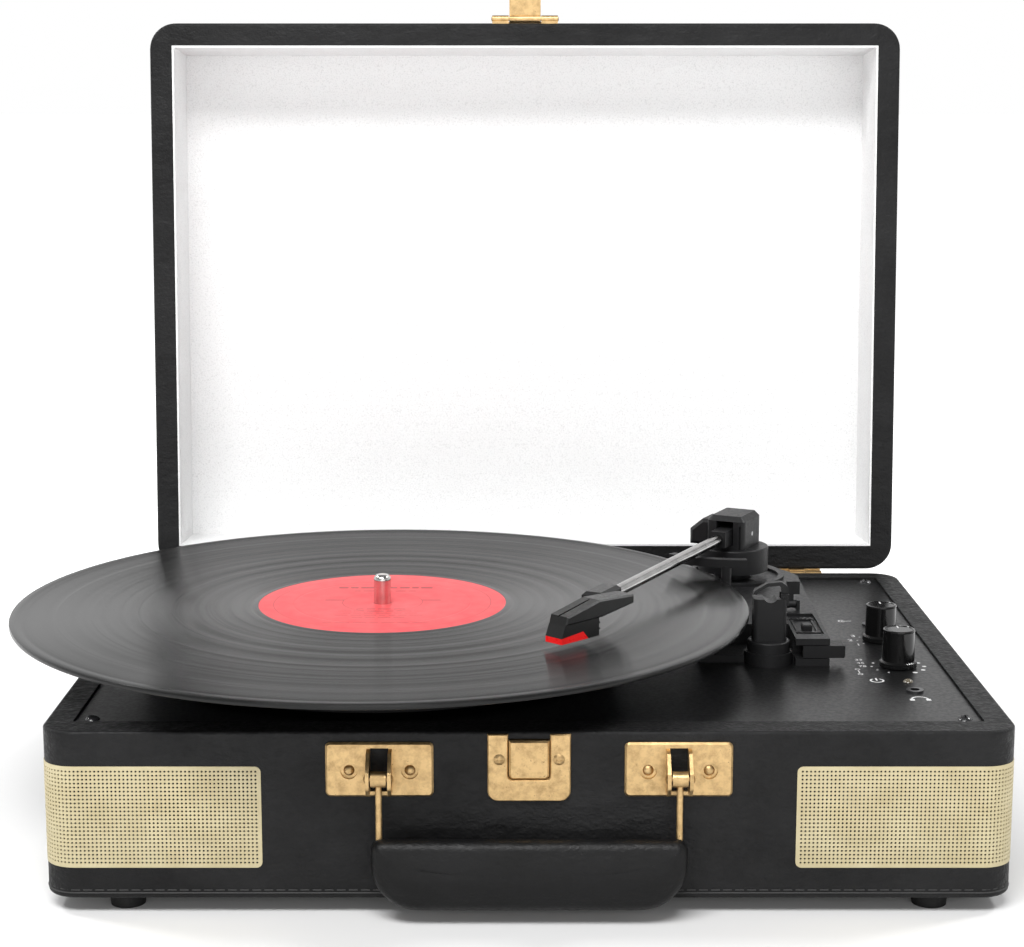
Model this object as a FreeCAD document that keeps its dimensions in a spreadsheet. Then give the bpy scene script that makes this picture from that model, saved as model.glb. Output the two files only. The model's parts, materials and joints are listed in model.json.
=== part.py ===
import FreeCAD, Part
import Sketcher
import math
import operator
import os
from types import SimpleNamespace

# Suitcase record player, in millimetres, +Z up and +X to its right. The origin is on the floor under the
# middle of the case. It stands open: the lid leans back on its hinges, a record lies on the platter and
# the tonearm is lifted just clear of the record.

DIMENSIONS = [
    # case
    ("foot_height", 6), ("foot_radius", 7), ("foot_inset_x", 29), ("foot_inset_y", 12),
    ("case_width", 355), ("case_depth", 260), ("case_height", 63.2),
    ("corner_radius", 12), ("case_edge", 1.2),
    ("rim_side", 10.5), ("rim_front", 13.2), ("rim_back", 10.5),
    ("ledge_width", 3.5), ("corner_block", 14), ("floor_lip", 4), ("floor_thickness", 4),
    ("deck_thickness", 3), ("deck_drop", 1), ("deck_gap", 0.2), ("deck_screw_inset", 6),
    ("screw_radius", 1.4), ("small_screw_radius", 1.2), ("slot_half", 0.3),
    ("foot_screw_bite", 12), ("deck_screw_bite", 14), ("latch_screw_bite", 11), ("leaf_screw_bite", 10),
    ("lid_screw_bite", 8), ("hasp_rivet_bite", 8), ("hasp_rivet_shank", 1), ("screw_end_gap", 1),
    ("foot_head_radius", 3), ("foot_head_room", 3.5), ("foot_head_gap", 0.3),
    # speakers and grilles
    ("grille_reach", 80.5), ("grille_return", 55), ("grille_rise", 11.9), ("grille_tall", 38.3),
    ("grille_round", 2.5), ("grille_sheet", 1), ("grille_recess", 0.8),
    ("speaker_inset", 55.5), ("speaker_hole", 17), ("speaker_radius", 22), ("speaker_flange", 2),
    ("basket_depth", 12), ("magnet_radius", 13), ("magnet_depth", 8), ("paper_thickness", 0.6),
    # latch
    ("latch_half", 15), ("latch_reach", 25.7), ("latch_drop", 0.6), ("latch_sheet", 1.4),
    ("latch_round", 3.8), ("button_half", 7.3), ("button_reach", 17.4), ("button_drop", 2.9),
    ("button_proud", 1.9), ("button_depth", 3), ("button_travel", 1.5), ("button_round", 1.8),
    ("slide_gap", 0.3), ("latch_screw_x", 10.8), ("latch_screw_drop", 10),
    # handle
    ("handle_half", 54), ("bracket_half", 19.5), ("bracket_reach", 23.9), ("bracket_drop", 3.7),
    ("bracket_sheet", 1.5), ("bracket_bevel", 0.7), ("rivet_spread", 11), ("rivet_drop", 14.2),
    ("rivet_head", 2), ("dimple_radius", 3.1), ("dimple_depth", 0.9),
    ("lug_inner", 3.3), ("lug_sheet", 1.3), ("pivot_standoff", 8), ("pivot_drop", 15.2),
    ("pin_radius", 1), ("pin_clearance", 0.08), ("wire_radius", 1.2), ("eye_radius", 2.9),
    ("grip_half", 57), ("grip_hang", 48.5), ("grip_tall", 26.5), ("grip_thick", 13),
    ("grip_setback", 1.5), ("grip_corner", 15), ("grip_soft", 4), ("grip_wire_hang", 36),
    # hinges
    ("hinge_offset", 3.2), ("hinge_drop", 2.5), ("lid_angle", 94.54), ("hinge_inset", 46),
    ("hinge_width", 23), ("leaf_sheet", 1.2), ("leaf_reach", 18), ("barrel_radius", 2.7),
    ("hinge_pin", 1.25), ("hinge_clearance", 0.06), ("knuckle_half", 3.6), ("leaf_screw_x", 6.5),
    ("leaf_screw_z", 11),
    # lid
    ("lid_gap", 0.4), ("lid_height", 45), ("lid_panel", 5.3), ("lid_wall", 10.4),
    ("lid_hinge_wall", 11.2), ("lid_edge", 3), ("lining", 0.8),
    # hasp
    ("hasp_half", 15.5), ("hasp_sheet", 1.2), ("hasp_low", 0.9), ("hasp_tall", 10.5),
    ("hasp_barrel", 1.7), ("hasp_axis_out", 2.3), ("hasp_axis_up", 2.7), ("hasp_pin_radius", 0.8),
    ("tongue_half", 7.4), ("tongue_reach", 11), ("tongue_sheet", 1.3),
    # platter and record
    ("spindle_x", -59.7), ("spindle_y", -11.6), ("spindle_radius", 3.55), ("spindle_tip", 12),
    ("collar_radius", 8), ("collar_height", 3), ("platter_radius", 98), ("platter_gap", 2),
    ("platter_height", 14.5), ("platter_sheet", 3.5), ("rim_sheet", 4), ("hub_radius", 11),
    ("bush_radius", 6), ("ring_radius", 72), ("ring_sheet", 2), ("mat_thickness", 1.8),
    ("record_radius", 150.8), ("record_thickness", 2.2), ("groove_drop", 0.25),
    ("label_radius", 51), ("label_thickness", 0.2), ("hole_clearance", 0.1),
    # motor and belt
    ("motor_gap", 12), ("motor_bearing", 135), ("motor_radius", 19), ("motor_height", 29),
    ("shaft_radius", 1), ("pulley_radius", 4.5), ("pulley_height", 8), ("pulley_flange", 5.3),
    ("belt_width", 5), ("belt_sheet", 0.7), ("belt_gap", 0.3),
    # tonearm
    ("arm_pivot_x", 94.5), ("arm_pivot_y", 78), ("arm_angle", 26.46), ("arm_rise", 11.3),
    ("base_height", 11.3), ("base_front", -36.5), ("base_right", 124), ("base_back", 104),
    ("base_left", 76), ("plate_left", 70), ("plate_thickness", 3),
    ("post_radius", 8), ("post_height", 10), ("pivot_shaft", 2.5), ("shaft_clearance", 0.05),
    ("drum_radius", 15.8), ("drum_height", 11), ("housing_foot", 6), ("drum_wall", 2.3),
    ("housing_half_x", 9), ("housing_half_y", 11.5), ("housing_rise", 9), ("housing_wall", 3.2),
    ("housing_front", 2.5), ("sleeve_room", 0.5),
    ("lobe_reach", 10), ("gimbal_radius", 1), ("carrier_half", 3.5), ("carrier_front", 20),
    ("tube_radius", 2.4), ("tube_wall", 0.5), ("tube_end", 138), ("end_block_length", 18),
    ("end_block_half", 4.5), ("head_reach", 184), ("head_offset", 1), ("head_angle", 17.8),
    ("head_half", 4.7), ("head_length", 38), ("cartridge_length", 18), ("stylus_clear", 1.75),
    # arm rest
    ("rest_x", 98), ("rest_y", -30), ("rest_foot", 9.7), ("rest_column_x", 6.75),
    ("rest_column_y", 4.5), ("rest_gap", 2.4), ("clip_half", 1.6), ("trunnion_radius", 0.9),
    ("lug_half", 3.2),
    # cueing and switches
    ("lift_bar_radius", 42), ("lift_bar_half", 2), ("lift_bar_gap", 1.2), ("lift_bar_height", 3.6),
    ("lift_bar_start", 46), ("lift_bar_span", 48), ("plunger_angle", 10), ("plunger_radius", 2.2),
    ("cue_x", 112.5), ("cue_y", 13), ("cue_height", 12.5),
    ("recess_depth", 1.2), ("switch_x", 115), ("switch_y", -18), ("speed_reach", 4.3),
    # controls
    ("control_x", 149.5), ("volume_y", -37.2), ("function_y", 4.6), ("knob_radius", 6.5),
    ("knob_skirt", 7.5), ("knob_height", 15.7), ("knob_lift", 0.4), ("stem_radius", 3),
    ("pot_half", 8), ("pot_height", 8), ("led_radius", 2), ("led_y", -59.6),
    ("headphone_y", -73.5), ("line_in_y", 31), ("jack_radius", 3), ("jack_nut", 3.4),
    ("jack_bore", 1.8), ("jack_depth", 13), ("jack_bore_depth", 12),
    # rear sockets and electronics
    ("rear_x", 60), ("rear_rise", 28), ("rear_half_x", 32), ("rear_half_z", 13), ("rear_sheet", 1.2),
    ("phono_spacing", 14), ("phono_radius", 4.15), ("phono_bore", 1.6), ("phono_reach", 8),
    ("inlet_offset", 16), ("inlet_radius", 4.5), ("inlet_bore", 2.75), ("inlet_pin", 1.05),
    ("inlet_depth", 9), ("board_length", 80), ("board_depth", 70), ("board_sheet", 1.6),
    ("pillar_height", 6),
]

DIRECTIONS = {
    "+X": (FreeCAD.Vector(1, 0, 0), FreeCAD.Rotation(FreeCAD.Vector(0, 1, 0), 90)),
    "-X": (FreeCAD.Vector(-1, 0, 0), FreeCAD.Rotation(FreeCAD.Vector(0, 1, 0), -90)),
    "+Y": (FreeCAD.Vector(0, 1, 0), FreeCAD.Rotation(FreeCAD.Vector(1, 0, 0), -90)),
    "-Y": (FreeCAD.Vector(0, -1, 0), FreeCAD.Rotation(FreeCAD.Vector(1, 0, 0), 90)),
    "+Z": (FreeCAD.Vector(0, 0, 1), FreeCAD.Rotation()),
    "-Z": (FreeCAD.Vector(0, 0, -1), FreeCAD.Rotation(FreeCAD.Vector(1, 0, 0), 180)),
}
TOLERANCE = 0.01
SIDES = (-1, 1)

doc = FreeCAD.newDocument("RecordPlayer")
pieces = {}


# ---------------------------------------------------------------- sizes on the sheet

class Size:
    """A size, kept both as a spreadsheet expression and as its present value."""

    def __init__(self, text, value):
        self.text = text
        self.value = value

    def __add__(self, other):
        return combine(self, "+", other, operator.add)

    def __radd__(self, other):
        return combine(other, "+", self, operator.add)

    def __sub__(self, other):
        return combine(self, "-", other, operator.sub)

    def __rsub__(self, other):
        return combine(other, "-", self, operator.sub)

    def __mul__(self, other):
        return combine(self, "*", other, operator.mul)

    def __rmul__(self, other):
        return combine(other, "*", self, operator.mul)

    def __truediv__(self, other):
        return combine(self, "/", other, operator.truediv)

    def __neg__(self):
        return combine(0, "-", self, operator.sub)


def as_size(number):
    if isinstance(number, Size):
        return number
    return Size(f"({number})", float(number))


def combine(left, sign, right, action):
    left = as_size(left)
    right = as_size(right)
    return Size(f"({left.text} {sign} {right.text})", action(left.value, right.value))


def sine(angle):
    return Size(f"sin({angle.text})", math.sin(math.radians(angle.value)))


def cosine(angle):
    return Size(f"cos({angle.text})", math.cos(math.radians(angle.value)))


def fill_sheet():
    """Puts every dimension on the sheet under its name, and returns them as sizes."""
    sheet = doc.addObject("Spreadsheet::Sheet", "Dims")
    sizes = {}
    for row, (name, value) in enumerate(DIMENSIONS, start=1):
        sheet.set(f"A{row}", name)
        sheet.set(f"B{row}", str(value))
        sheet.setAlias(f"B{row}", name)
        sizes[name] = Size(f"Dims.{name}", float(value))
    doc.recompute()
    return SimpleNamespace(**sizes)


d = fill_sheet()


def bind(thing, path, number):
    thing.setExpression(path, as_size(number).text)


def move(thing, x, y, z):
    bind(thing, "Placement.Base.x", x)
    bind(thing, "Placement.Base.y", y)
    bind(thing, "Placement.Base.z", z)


# ---------------------------------------------------------------- primitives

def ordered(first, second):
    first = as_size(first)
    second = as_size(second)
    return (first, second) if first.value <= second.value else (second, first)


def box(x_range, y_range, z_range):
    (x0, x1), (y0, y1), (z0, z1) = (ordered(*span) for span in (x_range, y_range, z_range))
    block = doc.addObject("Part::Box", "Box")
    bind(block, "Length", x1 - x0)
    bind(block, "Width", y1 - y0)
    bind(block, "Height", z1 - z0)
    move(block, x0, y0, z0)
    return block


def rod(radius, start, length, direction="+Z"):
    cylinder = doc.addObject("Part::Cylinder", "Rod")
    cylinder.Placement = FreeCAD.Placement(FreeCAD.Vector(), DIRECTIONS[direction][1])
    bind(cylinder, "Radius", radius)
    bind(cylinder, "Height", length)
    move(cylinder, *start)
    return cylinder


def cone(radius1, radius2, start, length, direction="+Z"):
    frustum = doc.addObject("Part::Cone", "Cone")
    frustum.Placement = FreeCAD.Placement(FreeCAD.Vector(), DIRECTIONS[direction][1])
    bind(frustum, "Radius1", radius1)
    bind(frustum, "Radius2", radius2)
    bind(frustum, "Height", length)
    move(frustum, *start)
    return frustum


def dome(radius, height, start, direction="+Z"):
    """A cap of a sphere, standing on its flat face."""
    radius = as_size(radius)
    ball = (radius * radius + height * height) / (2 * height)
    drop = ball - height
    vector, rotation = DIRECTIONS[direction]
    cap = doc.addObject("Part::Sphere", "Dome")
    cap.Placement = FreeCAD.Placement(FreeCAD.Vector(), rotation)
    bind(cap, "Radius", ball)
    latitude = Size(f"asin({(drop / ball).text})", math.degrees(math.asin(drop.value / ball.value)))
    bind(cap, "Angle1", latitude)
    x, y, z = start
    move(cap, x - drop * vector.x, y - drop * vector.y, z - drop * vector.z)
    return cap


def fuse(*things):
    if len(things) == 1:
        return things[0]
    union = doc.addObject("Part::MultiFuse", "Fuse")
    union.Shapes = list(things)
    return union


def group(*things):
    """Separate solids kept as one sub-part."""
    compound = doc.addObject("Part::Compound", "Group")
    compound.Links = list(things)
    return compound


def cut(base, *tools):
    difference = doc.addObject("Part::Cut", "Cut")
    difference.Base = base
    difference.Tool = fuse(*tools)
    return difference


def common(base, tool):
    overlap = doc.addObject("Part::Common", "Common")
    overlap.Base = base
    overlap.Tool = tool
    return overlap


def ring(outer, inner, start, length, direction="+Z"):
    return cut(rod(outer, start, length, direction), rod(inner, start, length, direction))


def rivet(head_radius, head_height, shank_radius, shank_length, start, head_direction):
    """A domed head on a plain shank; start is the middle of the face under the head."""
    back = head_direction.translate(str.maketrans("+-", "-+"))
    return fuse(dome(head_radius, head_height, start, head_direction),
                rod(shank_radius, start, shank_length, back))


def cross_slots(reach, levels, start, direction):
    """Two crossed slots, between two levels above start, that a screwdriver fits."""
    axis = "XYZ".index(direction[1])
    sign = 1 if direction[0] == "+" else -1
    slots = []
    for long_axis in range(3):
        if long_axis == axis:
            continue
        spans = [(place - d.slot_half, place + d.slot_half) for place in start]
        spans[long_axis] = (start[long_axis] - reach, start[long_axis] + reach)
        spans[axis] = tuple(start[axis] + sign * level for level in levels)
        slots.append(box(*spans))
    return slots


def screw(head_radius, head_height, shank_radius, shank_length, start, head_direction):
    """A rivet shape with a cross recess in its head."""
    levels = (0.25 * as_size(head_height), 2 * as_size(head_height))
    slots = cross_slots(0.58 * as_size(head_radius), levels, start, head_direction)
    return cut(rivet(head_radius, head_height, shank_radius, shank_length, start, head_direction), *slots)


# ---------------------------------------------------------------- sketched bodies

def new_body(name):
    return doc.addObject("PartDesign::Body", name)


def sketch_on(body, role, offset=0):
    plane = next(part for part in body.Origin.OriginFeatures if part.Role == role)
    drawing = body.newObject("Sketcher::SketchObject", "Sketch")
    drawing.AttachmentSupport = [(plane, "")]
    drawing.MapMode = "FlatFace"
    bind(drawing, "AttachmentOffset.Base.z", offset)
    return drawing


def draw_outline(drawing, points):
    """A closed outline of straight lines, with each corner held at its two sizes."""
    places = [(as_size(across), as_size(up)) for across, up in points]
    corners = [FreeCAD.Vector(across.value, up.value, 0) for across, up in places]
    count = len(corners)
    for index, corner in enumerate(corners):
        drawing.addGeometry(Part.LineSegment(corner, corners[(index + 1) % count]), False)
    for index in range(count):
        following = (index + 1) % count
        drawing.addConstraint(Sketcher.Constraint("Coincident", index, 2, following, 1))
    for index, place in enumerate(places):
        for kind, size in zip(("DistanceX", "DistanceY"), place):
            constraint = Sketcher.Constraint(kind, -1, 1, index, 1, size.value)
            number = drawing.addConstraint(constraint)
            bind(drawing, f"Constraints[{number}]", size)


def dress_edges(body, kind, size_name, size, chosen):
    """Adds a fillet or chamfer to the edges of the body's last feature that chosen() picks."""
    doc.recompute()
    base = body.Tip
    names = [f"Edge{number}" for number, edge in enumerate(base.Shape.Edges, start=1) if chosen(edge)]
    if not names:
        raise ValueError(f"no edge to dress on {body.Label}")
    feature = body.newObject(f"PartDesign::{kind}", kind)
    feature.Base = (base, names)
    bind(feature, size_name, size)


def round_edges(body, radius, chosen):
    dress_edges(body, "Fillet", "Radius", radius, chosen)


def bevel_edges(body, size, chosen):
    dress_edges(body, "Chamfer", "Size", size, chosen)


def edges_along(axis, places):
    """Picks straight edges along an axis index that pass through one of the places."""
    others = [index for index in range(3) if index != axis]
    targets = [(as_size(a).value, as_size(b).value) for a, b in places]

    def chosen(edge):
        ends = [vertex.Point for vertex in edge.Vertexes]
        if len(ends) != 2 or abs(ends[0][axis] - ends[1][axis]) < TOLERANCE:
            return False
        if any(abs(ends[0][other] - ends[1][other]) > TOLERANCE for other in others):
            return False
        spot = [ends[0][other] for other in others]
        return any(math.dist(spot, target) < TOLERANCE for target in targets)

    return chosen


def edges_in_plane(axis, *levels):
    """Picks the edges that lie in a plane square to an axis index, at one of the levels."""
    heights = [as_size(level).value for level in levels]

    def chosen(edge):
        bounds = edge.BoundBox
        low = (bounds.XMin, bounds.YMin, bounds.ZMin)[axis]
        high = (bounds.XMax, bounds.YMax, bounds.ZMax)[axis]
        return any(abs(low - height) < TOLERANCE and abs(high - height) < TOLERANCE
                   for height in heights)

    return chosen


def prism(name, plane, span, points, rounds=(), bevel=None):
    """Pads an outline over a span along the plane's normal.

    XY outlines are padded along Z, XZ outlines along Y and YZ outlines along X. rounds holds
    (radius, corner points) pairs, and bevel a size and the levels of the end faces it goes round.
    """
    low, high = ordered(*span)
    body = new_body(name)
    axis = {"XY": 2, "XZ": 1, "YZ": 0}[plane]
    offset = -high if plane == "XZ" else low
    drawing = sketch_on(body, f"{plane}_Plane", offset)
    draw_outline(drawing, points)
    pad = body.newObject("PartDesign::Pad", "Pad")
    pad.Profile = drawing
    bind(pad, "Length", high - low)
    for radius, places in rounds:
        round_edges(body, radius, edges_along(axis, places))
    if bevel:
        size, levels = bevel
        bevel_edges(body, size, edges_in_plane(axis, *levels))
    return body


def rectangle(across, up):
    (a0, a1), (b0, b1) = ordered(*across), ordered(*up)
    return [(a0, b0), (a1, b0), (a1, b1), (a0, b1)]


def rounded_block(name, x_range, y_range, z_range, radius):
    outline = rectangle(x_range, y_range)
    return prism(name, "XY", z_range, outline, rounds=[(radius, outline)])


def turned(name, points, rounds=()):
    """Revolves an outline of (radius, height) points about Z; rounds holds (radius, height) pairs."""
    body = new_body(name)
    drawing = sketch_on(body, "XZ_Plane")
    draw_outline(drawing, points)
    revolution = body.newObject("PartDesign::Revolution", "Revolution")
    revolution.Profile = drawing
    revolution.ReferenceAxis = (drawing, ["V_Axis"])
    revolution.Angle = 360
    for radius, level in rounds:
        round_edges(body, radius, edges_in_plane(2, level))
    return body


# ---------------------------------------------------------------- frames

def in_lid(thing):
    """Swings a piece drawn on the closed lid, about the hinge axis, to where the open lid holds it."""
    thing.Placement = FreeCAD.Placement(
        FreeCAD.Vector(), FreeCAD.Rotation(FreeCAD.Vector(-1, 0, 0), d.lid_angle.value))
    bind(thing, "Placement.Rotation.Angle", d.lid_angle)
    move(thing, 0, hinge_y, hinge_z)
    return thing


def turned_to(thing, x, y, angle):
    """Turns a piece that points along -Y by an angle towards -X, about an upright axis at x, y."""
    thing.Placement = FreeCAD.Placement(
        FreeCAD.Vector(), FreeCAD.Rotation(FreeCAD.Vector(0, 0, -1), angle.value))
    bind(thing, "Placement.Rotation.Angle", angle)
    move(thing, x, y, 0)
    return thing


def in_arm(thing):
    return turned_to(thing, d.arm_pivot_x, d.arm_pivot_y, d.arm_angle)


def in_head(thing):
    return turned_to(thing, head_x, head_y, d.arm_angle + d.head_angle)


def standing_at(thing, x, y):
    move(thing, x, y, 0)
    return thing


def piece(name, thing):
    """Registers a sub-part under the name of its file."""
    thing.Label = name
    pieces[name] = thing


# ---------------------------------------------------------------- places shared by several pieces

half_width = d.case_width / 2
half_depth = d.case_depth / 2
front = -half_depth
case_top = d.foot_height + d.case_height
deck_top = case_top - d.deck_drop
deck_under = deck_top - d.deck_thickness
floor_top = d.foot_height + d.floor_thickness
deck_x = half_width - d.rim_side
deck_front = front + d.rim_front
deck_back = half_depth - d.rim_back
cavity_x = deck_x - d.ledge_width
cavity_front = deck_front + d.ledge_width
cavity_back = deck_back - d.ledge_width

grille_low = d.foot_height + d.grille_rise
speaker_z = grille_low + d.grille_tall / 2
rear_z = d.foot_height + d.rear_rise
latch_low = case_top - d.latch_reach
latch_top = case_top - d.latch_drop
latch_screw_z = case_top - d.latch_screw_drop
button_low = case_top - d.button_reach
button_top = case_top - d.button_drop
bracket_low = case_top - d.bracket_reach
bracket_top = case_top - d.bracket_drop
rivet_height = case_top - d.rivet_drop
pivot_height = case_top - d.pivot_drop
grip_low = pivot_height - d.grip_hang
grip_wire_height = pivot_height - d.grip_wire_hang

hinge_y = half_depth + d.hinge_offset
hinge_z = case_top - d.hinge_drop
hinge_x = half_width - d.hinge_inset
lid_back = -d.hinge_offset
lid_front = lid_back - d.case_depth
lid_low = d.hinge_drop + d.lid_gap
lid_top = lid_low + d.lid_height
lid_inside = half_width - d.lid_wall
hasp_rivet_z = lid_low + d.hasp_low + d.hasp_tall - 2.6
hasp_rivet_places = [side * (d.hasp_half - 4) for side in SIDES]

platter_low = deck_top + d.platter_gap
platter_top = platter_low + d.platter_height
record_low = platter_top + d.mat_thickness
record_top = record_low + d.record_thickness
groove_top = record_top - d.groove_drop
collar_top = deck_top + d.collar_height
motor_reach = d.ring_radius + d.motor_gap
motor_x = d.spindle_x + motor_reach * cosine(d.motor_bearing)
motor_y = d.spindle_y + motor_reach * sine(d.motor_bearing)
pulley_low = deck_top + 3.3

base_top = deck_top + d.base_height
arm_height = record_top + d.arm_rise
drum_top = arm_height - d.housing_foot
drum_low = drum_top - d.drum_height
housing_top = arm_height + d.housing_rise
tube_bore = d.tube_radius - d.tube_wall
rest_top = arm_height - d.tube_radius - d.rest_gap
lift_bar_top = arm_height - d.tube_radius - d.lift_bar_gap
shelf_x = d.rest_x + d.rest_foot + 0.6
speed_slot = (deck_top + 3, base_top - d.recess_depth - 1.5)
board_pillars = [(cavity_x - 18 - d.board_length * u, cavity_back - 18 - d.board_depth * v)
                 for u in (0.08, 0.92) for v in (0.08, 0.92)]

handle_y = front - d.pivot_standoff
grip_y = handle_y - d.grip_setback

feet_places = [(sx * (half_width - d.foot_inset_x), sy * (half_depth - d.foot_inset_y))
               for sx in SIDES for sy in SIDES]
deck_screw_places = [(sx * (deck_x - d.deck_screw_inset), y)
                     for sx in SIDES
                     for y in (deck_front + d.deck_screw_inset, deck_back - d.deck_screw_inset)]
rivet_places = [sx * d.handle_half + sr * d.rivet_spread for sx in SIDES for sr in SIDES]
latch_screw_places = [sx * d.latch_screw_x for sx in SIDES]
leaf_screw_places = [sx * hinge_x + sr * d.leaf_screw_x for sx in SIDES for sr in SIDES]
motor_screw_places = [motor_x + sx * d.motor_radius * 0.7 for sx in SIDES]

head_x = d.arm_pivot_x - d.head_offset * cosine(d.arm_angle) - d.head_reach * sine(d.arm_angle)
head_y = d.arm_pivot_y + d.head_offset * sine(d.arm_angle) - d.head_reach * cosine(d.arm_angle)
stylus_tip = record_top + d.stylus_clear
head_low = stylus_tip + 0.7
plunger_x = d.arm_pivot_x - d.lift_bar_radius * sine(d.plunger_angle)
plunger_y = d.arm_pivot_y - d.lift_bar_radius * cosine(d.plunger_angle)
cue_axis_z = base_top + 2.6
clip_x = d.rest_x + 6.1
clip_z = rest_top + 0.4

knob_places = (("volume_knob", d.volume_y), ("function_knob", d.function_y))
jack_places = (d.headphone_y, d.line_in_y)


# ---------------------------------------------------------------- case

def speaker_window(side):
    return rod(d.speaker_hole, (side * (half_width - d.speaker_inset), front, speaker_z),
               cavity_front - front, "+Y")


def grille_band(side, outside, inside):
    """Sheet metal that wraps from the front round the corner on to one side of the case."""
    reach = half_width - d.grille_reach
    z_range = (grille_low, grille_low + d.grille_tall)
    beyond = half_width + 2
    back_edge = front + d.grille_return
    front_outline = rectangle((side * reach, side * beyond), z_range)
    front_face = prism("GrilleFront", "XZ", (front - 2, front + d.corner_radius), front_outline,
                       rounds=[(d.grille_round, [(side * reach, z) for z in z_range])])
    side_outline = rectangle((front + d.corner_radius / 2, back_edge), z_range)
    side_face = prism("GrilleSide", "YZ", (side * (half_width - d.corner_radius), side * beyond),
                      side_outline, rounds=[(d.grille_round, [(back_edge, z) for z in z_range])])
    outer = rounded_block("GrilleOuter", (-half_width - outside, half_width + outside),
                          (front - outside, half_depth + outside), z_range, d.corner_radius + outside)
    inner = rounded_block("GrilleInner", (-half_width + inside, half_width - inside),
                          (front + inside, half_depth - inside), z_range, d.corner_radius - inside)
    return common(cut(outer, inner), fuse(front_face, side_face))


def make_case_shell():
    block = rounded_block("CaseBlock", (-half_width, half_width), (front, half_depth),
                          (d.foot_height, case_top), d.corner_radius)
    round_edges(block, d.case_edge, edges_in_plane(2, d.foot_height, case_top))
    inner_x = cavity_x - d.corner_block
    hollow = [
        box((-deck_x, deck_x), (deck_front, deck_back), (deck_under, case_top)),
        box((-cavity_x, cavity_x), (cavity_front + d.corner_block, cavity_back - d.corner_block),
            (d.foot_height, deck_under)),
        box((-inner_x, inner_x), (cavity_front, cavity_back), (d.foot_height, deck_under)),
        rounded_block("FloorRebate", (-half_width + d.floor_lip, half_width - d.floor_lip),
                      (front + d.floor_lip, half_depth - d.floor_lip),
                      (d.foot_height, floor_top), d.corner_radius - d.floor_lip),
    ]
    holes = [rod(d.screw_radius, (x, y, floor_top), d.foot_screw_bite) for x, y in feet_places]
    holes += [rod(d.screw_radius, (x, y, deck_under), d.deck_screw_bite, "-Z")
              for x, y in deck_screw_places]
    holes += [rod(d.small_screw_radius, (x, front, rivet_height), cavity_front - front, "+Y")
              for x in rivet_places]
    holes += [rod(d.small_screw_radius, (x, front, latch_screw_z), d.latch_screw_bite, "+Y")
              for x in latch_screw_places]
    holes += [rod(d.small_screw_radius, (x, half_depth, hinge_z - d.leaf_screw_z), d.leaf_screw_bite, "-Y")
              for x in leaf_screw_places]
    button_room = box((-d.button_half - d.slide_gap, d.button_half + d.slide_gap),
                      (front, front + d.button_depth + d.button_travel + 0.6),
                      (button_low - d.slide_gap, button_top + d.slide_gap))
    rear_window = box((d.rear_x - d.rear_half_x + 4, d.rear_x + d.rear_half_x - 4),
                      (cavity_back, half_depth), (rear_z - 9, rear_z + 9))
    windows = [speaker_window(side) for side in SIDES]
    recesses = [grille_band(side, as_size(1), d.grille_recess) for side in SIDES]
    piece("case_shell", cut(block, *hollow, *holes, button_room, rear_window, *windows, *recesses))


def make_case_floor():
    panel = rounded_block("FloorPanel", (-half_width + d.floor_lip, half_width - d.floor_lip),
                          (front + d.floor_lip, half_depth - d.floor_lip),
                          (d.foot_height, floor_top), d.corner_radius - d.floor_lip)
    pillars = [rod(3, (x, y, floor_top), d.pillar_height) for x, y in board_pillars]
    holes = [rod(d.screw_radius, (x, y, d.foot_height), d.floor_thickness) for x, y in feet_places]
    piece("case_floor", cut(fuse(panel, *pillars), *holes))


def make_feet():
    length = floor_top + d.foot_screw_bite - d.foot_head_room
    feet = []
    screws = []
    for x, y in feet_places:
        pad = cone(d.foot_radius - 0.6, d.foot_radius, (x, y, 0), d.foot_height)
        recess = rod(d.foot_head_radius + d.foot_head_gap, (x, y, 0), d.foot_head_room)
        feet.append(cut(pad, recess, rod(d.screw_radius, (x, y, 0), d.foot_height)))
        screws.append(screw(d.foot_head_radius, 1.8, d.screw_radius, length, (x, y, d.foot_head_room), "-Z"))
    piece("feet", group(*feet))
    piece("foot_screws", group(*screws))


def make_deck():
    plate = box((-deck_x + d.deck_gap, deck_x - d.deck_gap),
                (deck_front + d.deck_gap, deck_back - d.deck_gap), (deck_under, deck_top))
    openings = [rod(d.screw_radius, (x, y, deck_under), d.deck_thickness) for x, y in deck_screw_places]
    openings += [rod(d.screw_radius, (x, motor_y, deck_under), d.deck_thickness)
                 for x in motor_screw_places]
    openings += [rod(d.stem_radius + 0.3, (d.control_x, y, deck_under), d.deck_thickness)
                 for _, y in knob_places]
    openings += [rod(d.jack_radius, (d.control_x, y, deck_under), d.deck_thickness) for y in jack_places]
    openings.append(rod(d.led_radius, (d.control_x, d.led_y, deck_under), d.deck_thickness))
    openings.append(rod(d.spindle_radius + 1, (d.spindle_x, d.spindle_y, deck_under), d.deck_thickness))
    openings.append(rod(3, (motor_x, motor_y, deck_under), d.deck_thickness))
    piece("deck_plate", cut(plate, *openings))
    length = d.deck_thickness + d.deck_screw_bite - d.screw_end_gap
    corner = [screw(2.85, 1.5, d.screw_radius, length, (x, y, deck_top), "+Z")
              for x, y in deck_screw_places]
    motor = [screw(2.4, 1.1, d.screw_radius, d.deck_thickness + 4, (x, motor_y, deck_top), "+Z")
             for x in motor_screw_places]
    piece("deck_screws", group(*corner, *motor))


def make_grilles():
    for side, name in zip(SIDES, ("grille_left", "grille_right")):
        piece(name, grille_band(side, d.grille_sheet - d.grille_recess, d.grille_recess))


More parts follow.
